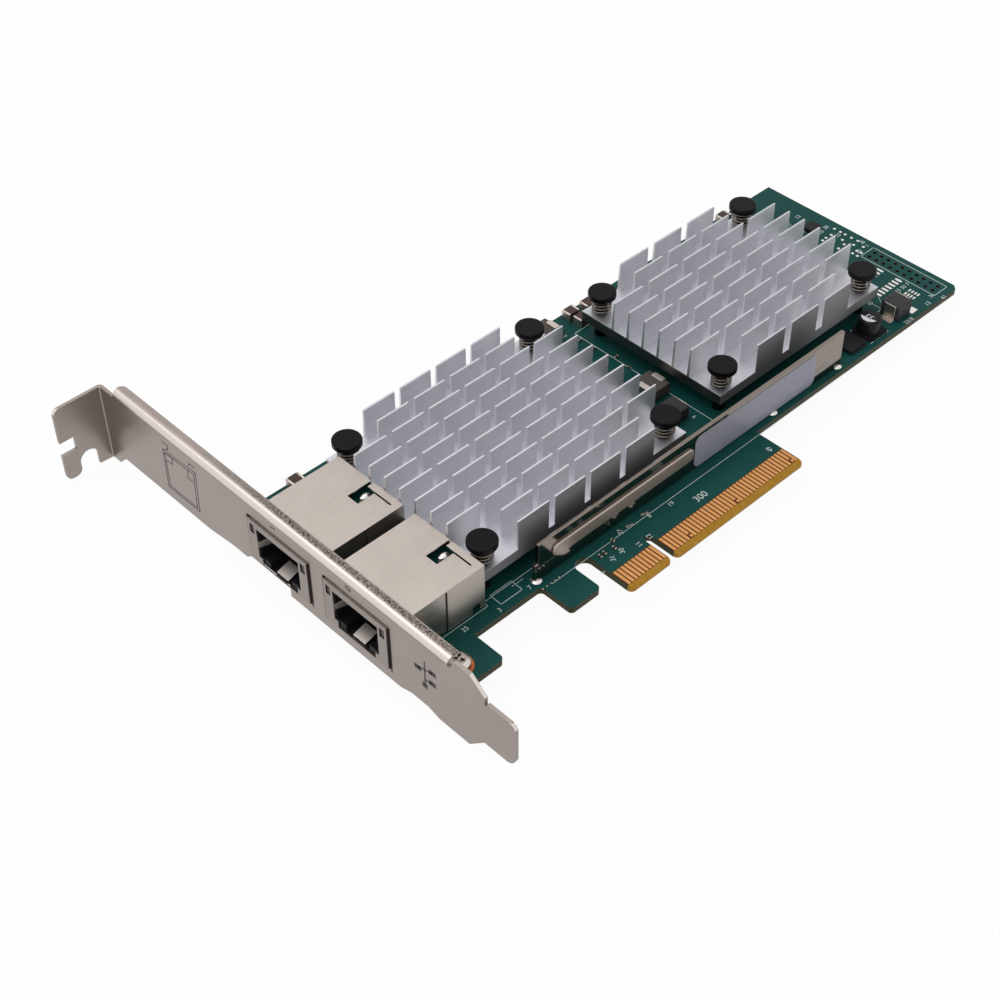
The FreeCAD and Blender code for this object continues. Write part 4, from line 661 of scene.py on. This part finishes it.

# tin: paler and duller than nickel, and darker at its front, where the bracket rims the mouths:
# that darkening is painted shade
tin_plate, tree, shader, satin, _ = plated_sheet(
    "satin_tin_plate", "#A49B94", "#BEB5AE", 0.38, (0.3, 1.0, 1.0))
along = add_node(tree, "ShaderNodeSeparateXYZ", {
    0: add_node(tree, "ShaderNodeTexCoord").outputs["Object"]})
rim = between(tree, along.outputs["X"], -60.0 * MM, -58.95 * MM)
rim = add_node(tree, "ShaderNodeMath", {0: rim, 1: 0.85}, operation="MULTIPLY")
painted_light_mix = add_node(tree, "ShaderNodeMix", {0: rim.outputs[0], 6: satin, 7: linear("#8C827C")},
                  data_type="RGBA")
tree.links.new(painted_light_mix.outputs[2], shader.inputs["Base Color"])
STOP = Vector((3.3, 3.4, 0.2))  # the stop's length, width and thickness
for port in range(2):
    shield = dressed_copy(f"port_{port}_shield", f"jack_{port}_shield", 0.06)
    low, high = mm_box(f"port_{port}_shield")
    jack_y = (low.y + high.y) / 2
    bpy.ops.object.mode_set(mode="EDIT")
    bpy.ops.mesh.select_all(action="DESELECT")
    bpy.ops.mesh.primitive_cube_add(size=1, location=Vector((low.x + 2.1, jack_y, 1.3)) * MM,
                                    rotation=(0, math.radians(-17), 0), scale=STOP * MM)
    finish_piece(shield, tin_plate, [f"port_{port}_shield"])
    board_top = mm_box(f"port_{port}_inner_board")[1].z
    solder = new_piece(f"jack_{port}_inner_solder")
    centre = Vector((-38.3, jack_y - 1.4, board_top))
    add_turned(centre.x, centre.y, [(radius, board_top + lift) for radius, lift in (
        (1.15, 0), (1.12, 0.5), (0.9, 1.1), (0.45, 1.4), (0.12, 1.45))], 24)
    bpy.ops.transform.resize(value=(1.3, 0.85, 1), center_override=centre * MM)
    finish_piece(solder, tin)

# Heatsinks: extruded aluminium, cut across by a gang saw and left bright. The extrusion's fine
# lines run along the fins. Shade on the base's sides, the outer fin and the tops is painted in.
aluminium, tree, shader = new_material("extruded_aluminium", {"Metallic": 1.0})
place = add_node(tree, "ShaderNodeTexCoord").outputs["Object"]
axes = add_node(tree, "ShaderNodeSeparateXYZ", {0: place})
stretched = add_node(tree, "ShaderNodeMapping", {"Vector": place, "Scale": (0.06, 1.0, 1.0)})
lines = add_node(tree, "ShaderNodeTexNoise", {
    "Vector": stretched.outputs[0], "Scale": 2.6 / MM, "Detail": 3.0})
cloud = add_node(tree, "ShaderNodeTexNoise", {"Vector": place, "Scale": 0.07 / MM, "Detail": 2.0})
tone = add_node(tree, "ShaderNodeMix", {
    0: lines.outputs["Fac"], 6: linear("#DCDCE0"), 7: linear("#F2F2F5")}, data_type="RGBA")
# the sides of the base, below the fins' roots, are darkened, most where they face along X:
# painted shade
facing = add_node(tree, "ShaderNodeSeparateXYZ", {
    0: add_node(tree, "ShaderNodeNewGeometry").outputs["Normal"]})
upright = add_node(tree, "ShaderNodeMath", {0: facing.outputs["Z"]}, operation="ABSOLUTE")
upright = add_node(tree, "ShaderNodeMapRange", {0: upright.outputs[0], 1: 0.5, 2: 0.1})
low_down = add_node(tree, "ShaderNodeMapRange", {0: axes.outputs["Z"], 1: 6.6 * MM, 2: 5.8 * MM})
side_on = add_node(tree, "ShaderNodeMath", {0: facing.outputs["X"]}, operation="ABSOLUTE")
side_on = add_node(tree, "ShaderNodeMapRange", {
    0: side_on.outputs[0], 1: 0.4, 2: 0.8, 3: 0.6, 4: 0.93})
shaded_base_side = upright
for limit in (low_down, side_on):
    shaded_base_side = add_node(tree, "ShaderNodeMath", {0: shaded_base_side.outputs[0], 1: limit.outputs[0]},
                    operation="MULTIPLY")
tone = add_node(tree, "ShaderNodeMix", {
    0: shaded_base_side.outputs[0], 6: tone.outputs[2], 7: linear("#3C4743")}, data_type="RGBA")
# the outward face of the fin nearest the rail is drawn rougher and less metallic, and darker:
# that darkness is painted shade
shaded_outer_fin = add_node(tree, "ShaderNodeMath", {
    0: between(tree, axes.outputs["Y"], 0.0, 21.5 * MM),
    1: between(tree, facing.outputs["Y"], -1.1, -0.6)}, operation="MULTIPLY")
tone = add_node(tree, "ShaderNodeMix", {
    0: shaded_outer_fin.outputs[0], 6: tone.outputs[2], 7: linear("#848486")}, data_type="RGBA")
metal = add_node(tree, "ShaderNodeMapRange", {0: shaded_outer_fin.outputs[0], 3: 1.0, 4: 0.65})
tree.links.new(metal.outputs[0], shader.inputs["Metallic"])
# the faces that look up are a little greyer than the fins' walls: painted shade, which tones down
# the light they catch from above
shaded_tops = add_node(tree, "ShaderNodeMapRange", {0: facing.outputs["Z"], 1: 0.7, 2: 0.9})
tone = add_node(tree, "ShaderNodeMix", {
    0: shaded_tops.outputs[0], 6: tone.outputs[2], 7: linear("#C4C4CA")}, data_type="RGBA")
tree.links.new(tone.outputs[2], shader.inputs["Base Color"])
dull = add_node(tree, "ShaderNodeMapRange", {0: cloud.outputs["Fac"], 3: 0.4, 4: 0.52})
dull = add_node(tree, "ShaderNodeMath", {0: shaded_outer_fin.outputs[0], 1: 0.15, 2: dull.outputs[0]},
                operation="MULTIPLY_ADD")
tree.links.new(dull.outputs[0], shader.inputs["Roughness"])
relief = add_node(tree, "ShaderNodeBump", {
    "Height": lines.outputs["Fac"], "Strength": 0.2, "Distance": 0.03 * MM})
tree.links.new(relief.outputs[0], shader.inputs["Normal"])
FIN_TAPER = 0.35
for side in ("near", "far"):
    sink = merged_copy(f"{side}_heatsink", f"{side}_fin_block")
    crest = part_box(f"{side}_heatsink")[1].z - 0.1 * MM
    # the fins thin towards their tips, which lets the die release them
    bpy.ops.object.mode_set(mode="EDIT")
    bpy.ops.mesh.select_all(action="DESELECT")
    shape = bmesh.from_edit_mesh(sink.data)
    for face in shape.faces:
        if face.normal.y > 0.9:
            for corner in face.verts:
                if corner.co.z > crest:
                    corner.select_set(True)
    bmesh.update_edit_mesh(sink.data)
    bpy.ops.transform.translate(value=(0, -FIN_TAPER * MM, 0))
    bpy.ops.object.mode_set(mode="OBJECT")
    round_edges(sink, 0.04)
    finish_piece(sink, aluminium, [f"{side}_heatsink"])

# Push pins: black nylon, moulded in one with a split barb, each pressed through a coil spring of
# drawn steel wire that keeps the heatsink on its chip. The nylon has a soft grit, drawn coarser
# than the mould's own so that it shows, and the wire a dull shine clouded by its drawing.
nylon = mottled("moulded_black_nylon", "#08080A", "#121214", 3.0,
                {"Roughness": 0.33, "Specular IOR Level": 0.09}, detail=2.0, relief=(0.2, 0.03))
wire = mottled("drawn_spring_wire", "#5F574F", "#8E857C", 1.8, {"Metallic": 1.0, "Roughness": 0.3},
               detail=2.0)
HEAD, SHANK, BARB = 3.15, 1.3, 1.75
BOARD_UNDER = -1.62
SLIT = Vector((6, 0.5, 5.6))
COIL_WIDTH = 4.5
WIRE_THICK = 0.4
TURNS = 4
STEPS = 28
for side in ("near", "far"):
    low, high = mm_box(f"{side}_push_pins")
    top = high.z
    pins = new_piece(f"{side}_sprung_pins")
    add_turned(0, 0, [
        (0.7, low.z), (BARB, BOARD_UNDER), (SHANK, BOARD_UNDER), (SHANK, top - 2.3), (1.7, top - 1.4),
        (HEAD - 0.2, top - 1.4), (HEAD, top - 1.25), (HEAD, top - 0.4), (HEAD, top - 0.22),
        (HEAD - 0.06, top - 0.1), (HEAD - 0.22, top), (HEAD - 0.4, top), (HEAD - 0.6, top)])
    bpy.ops.object.mode_set(mode="OBJECT")
    bpy.ops.object.shade_smooth_by_angle(angle=math.radians(40))
    bpy.ops.mesh.primitive_cube_add(size=1, location=(0, 0, low.z * MM), scale=SLIT * MM)
    slit = bpy.context.object
    cut = pins.modifiers.new("slit", "BOOLEAN")
    cut.object = slit
    bpy.context.view_layer.objects.active = pins
    bpy.ops.object.modifier_apply(modifier="slit")
    bpy.data.objects.remove(slit)
    first, *others = [Matrix.Translation(Vector((x, y, 0)) * MM)
                      for x in (low.x + HEAD, high.x - HEAD) for y in (low.y + HEAD, high.y - HEAD)]
    all_pins = [pins]
    for place in others:
        more = bpy.data.objects.new(f"{side}_pin", pins.data.copy())
        more.data.transform(place)
        bpy.context.scene.collection.objects.link(more)
        all_pins.append(more)
    pins.data.transform(first)
    finish_piece(join_pieces(all_pins), nylon, [f"{side}_push_pins"])

    low, high = mm_box(f"{side}_pin_springs")
    coils = []
    for x in (low.x + COIL_WIDTH / 2, high.x - COIL_WIDTH / 2):
        for y in (low.y + COIL_WIDTH / 2, high.y - COIL_WIDTH / 2):
            bpy.ops.object.select_all(action="DESELECT")
            bpy.ops.mesh.primitive_circle_add(
                vertices=10, radius=WIRE_THICK / 2 * MM, rotation=(math.pi / 2, 0, 0),
                location=Vector(((COIL_WIDTH - WIRE_THICK) / 2, 0, 0)) * MM)
            coil = bpy.context.object
            bpy.ops.object.transform_apply(location=True, rotation=True, scale=True)
            winding = coil.modifiers.new("winding", "SCREW")
            winding.iterations = TURNS
            winding.steps = STEPS
            winding.render_steps = STEPS
            winding.screw_offset = (high.z - low.z - WIRE_THICK) / TURNS * MM
            bpy.ops.object.modifier_apply(modifier="winding")
            coil.data.transform(Matrix.Translation(Vector((x, y, low.z + WIRE_THICK / 2)) * MM))
            coils.append(coil)
    springs = join_pieces(coils)
    springs.name = f"{side}_coil_springs"
    bpy.ops.object.mode_set(mode="EDIT")
    bpy.ops.mesh.select_all(action="SELECT")
    bpy.ops.mesh.normals_make_consistent(inside=False)
    bpy.ops.object.mode_set(mode="OBJECT")
    bpy.ops.object.shade_smooth()
    finish_piece(springs, wire, [f"{side}_pin_springs"])

# Jack housings, and the mouldings that stand for transformers: black glass-filled polyester, dull
# from its fibres. The light pipes are smoky polycarbonate, polished and a little hazed.
polyester = mottled("moulded_black_polyester", "#0E0E10", "#1D1D20", 2.2,
                    {"Roughness": 0.5, "Specular IOR Level": 0.1})
clear = mottled("smoky_polycarbonate", "#1B1715", "#332C29", 0.8,
                {"Roughness": 0.2, "Specular IOR Level": 0.2}, detail=2.0)
for port in range(2):
    for name, material in (("housing", polyester), ("transformers", polyester),
                           ("light_pipes", clear), ("inner_board", solder_mask), ("pins", tin)):
        paint_node(f"port_{port}_{name}", material)

# Label: white polyester film with a satin face and rounded corners, stuck on the rail and left
# bare. Its white is painted down to a cool grey: painted shade on its upright face.
label_film = mottled("white_label_film", "#8F8F9A", "#A0A0AA", 0.5,
                     {"Roughness": 0.38, "Specular IOR Level": 0.2}, detail=4.0)
sticker = merged_copy("rail_label", "rounded_label")
bpy.ops.object.mode_set(mode="EDIT")
bpy.ops.mesh.select_all(action="SELECT")
bpy.ops.mesh.dissolve_limited(angle_limit=math.radians(1))
bpy.ops.mesh.select_all(action="DESELECT")
bpy.ops.mesh.select_mode(type="EDGE")
shape = bmesh.from_edit_mesh(sticker.data)
for edge in shape.edges:
    reach = edge.verts[0].co - edge.verts[1].co
    if abs(reach.y) > 0.5 * reach.length:
        edge.select_set(True)
bmesh.update_edit_mesh(sticker.data)
bpy.ops.mesh.bevel(offset=1.6 * MM, segments=6)
bpy.ops.mesh.select_mode(type="VERT")
finish_piece(sticker, label_film, ["rail_label"])


# Soldered components: ferrite coils with tinned clips, ceramic capacitors with fired silver ends,
# epoxy packages, and a can capacitor with a black sleeve on a moulded foot. Each surface has a
# grain as coarse as it needs to show.
def cast(name, dark, light, roughness, size, metallic=0.0):
    """A cast, pressed or fired surface whose grain is about size millimetres across."""
    return mottled(name, dark, light, 1 / size, {
        "Roughness": roughness, "Metallic": metallic,
        "Specular IOR Level": 0.5 if metallic else 0.15}, relief=(0.25, 0.04))


# ferrite, ceramic and epoxy are matt and gritty, silver ends are a dull metal, the sleeve is a
# smooth film with a soft shine, and the gap pads are matt rubber
brown_ferrite = cast("moulded_brown_ferrite", "#403A35", "#5E5650", 0.5, 0.5)
dark_ferrite = cast("pressed_dark_ferrite", "#262427", "#454145", 0.42, 0.5)
ceramic = cast("fired_barium_ceramic", "#3A2E2A", "#5A4A42", 0.45, 0.6)
epoxy = cast("moulded_black_epoxy", "#151517", "#2A2A2D", 0.5, 0.4)
silver_end = cast("fired_silver_end", "#A89A90", "#DCD2CA", 0.38, 0.7, 1.0)
sleeve = cast("black_sleeve", "#0F0F11", "#1C1C20", 0.3, 0.6)
rubber = cast("grey_gap_pad", "#7E8084", "#9A9CA0", 0.8, 0.5)
for node, name, material, slot, radius in (
        ("moulded_inductors", "moulded_coils", brown_ferrite, "brown_ferrite", 0.25),
        ("moulded_inductor_clips", "coil_clips", silver_end, "silver_tin", 0.06),
        ("black_inductor", "pressed_coil", dark_ferrite, "dark_ferrite", 0.25),
        ("power_inductor", "square_coil", dark_ferrite, "dark_ferrite", 0.25),
        ("inductor_feet", "coil_feet", silver_end, "silver_tin", 0.05),
        ("large_capacitors_bodies", "large_ceramic_bodies", ceramic, "brown_ceramic", 0.06),
        ("large_capacitors_ends", "large_ceramic_ends", silver_end, "silver_tin", 0.12),
        ("small_capacitors_bodies", "small_ceramic_bodies", ceramic, "brown_ceramic", 0.03),
        ("small_capacitors_ends", "small_ceramic_ends", silver_end, "silver_tin", 0.06),
        ("underside_capacitors_bodies", "underside_ceramic_bodies", ceramic, "brown_ceramic", 0.03),
        ("underside_capacitors_ends", "underside_ceramic_ends", silver_end, "silver_tin", 0.06),
        ("power_transistor", "power_package", epoxy, "epoxy_package", 0.06),
        ("small_diode", "diode_package", epoxy, "epoxy_package", 0.08),
        ("memory_chip", "memory_package", epoxy, "epoxy_package", 0.06),
        ("can_capacitor", "can_sleeve", sleeve, "black_moulding", 0.15),
        ("can_capacitor_base", "can_foot", polyester, "black_moulding", 0.06),
        ("bracket_screws", "pan_head_screws", nickel, "steel_screw", 0.08)):
    finish_piece(dressed_copy(node, name, radius), material, [node])

# the can's print: a white crescent at one side of its top for the polarity, and its value
can_low, can_high = mm_box("can_capacitor")
can_x, can_y = (can_low.x + can_high.x) / 2, (can_low.y + can_high.y) / 2
mark = new_piece("can_polarity_mark")
bpy.ops.mesh.primitive_circle_add(vertices=48, radius=2.05 * MM, fill_type="NGON",
                                  location=Vector((can_x, can_y, can_high.z)) * MM)
bpy.ops.mesh.bisect(plane_co=Vector((can_x - 0.75, can_y, 0)) * MM, plane_no=(1, 0.1, 0),
                    clear_outer=True)
bpy.ops.mesh.select_all(action="SELECT")
bpy.ops.mesh.extrude_region_move(TRANSFORM_OT_translate={"value": (0, 0, 0.02 * MM)})
bpy.ops.mesh.select_all(action="SELECT")
bpy.ops.mesh.normals_make_consistent(inside=False)
bpy.ops.object.mode_set(mode="OBJECT")
value = add_word("33", 1.9, 0.02,
                 Matrix.Translation(Vector((can_x + 0.35, can_y - 0.95, can_high.z + 0.01)) * MM)
                 @ Matrix.Rotation(math.radians(90), 4, "Z"))
can_ink = cast("white_sleeve_print", "#C9C9CB", "#EDEDEE", 0.5, 0.3)
finish_piece(join_pieces([mark, value]), can_ink)
for node, material in (("line_driver_chip", epoxy), ("controller_chip", epoxy), ("crystal", silver_end),
                       ("near_thermal_pad", rubber), ("far_thermal_pad", rubber),
                       ("line_driver_solder_balls", tin), ("controller_solder_balls", tin)):
    paint_node(node, material)
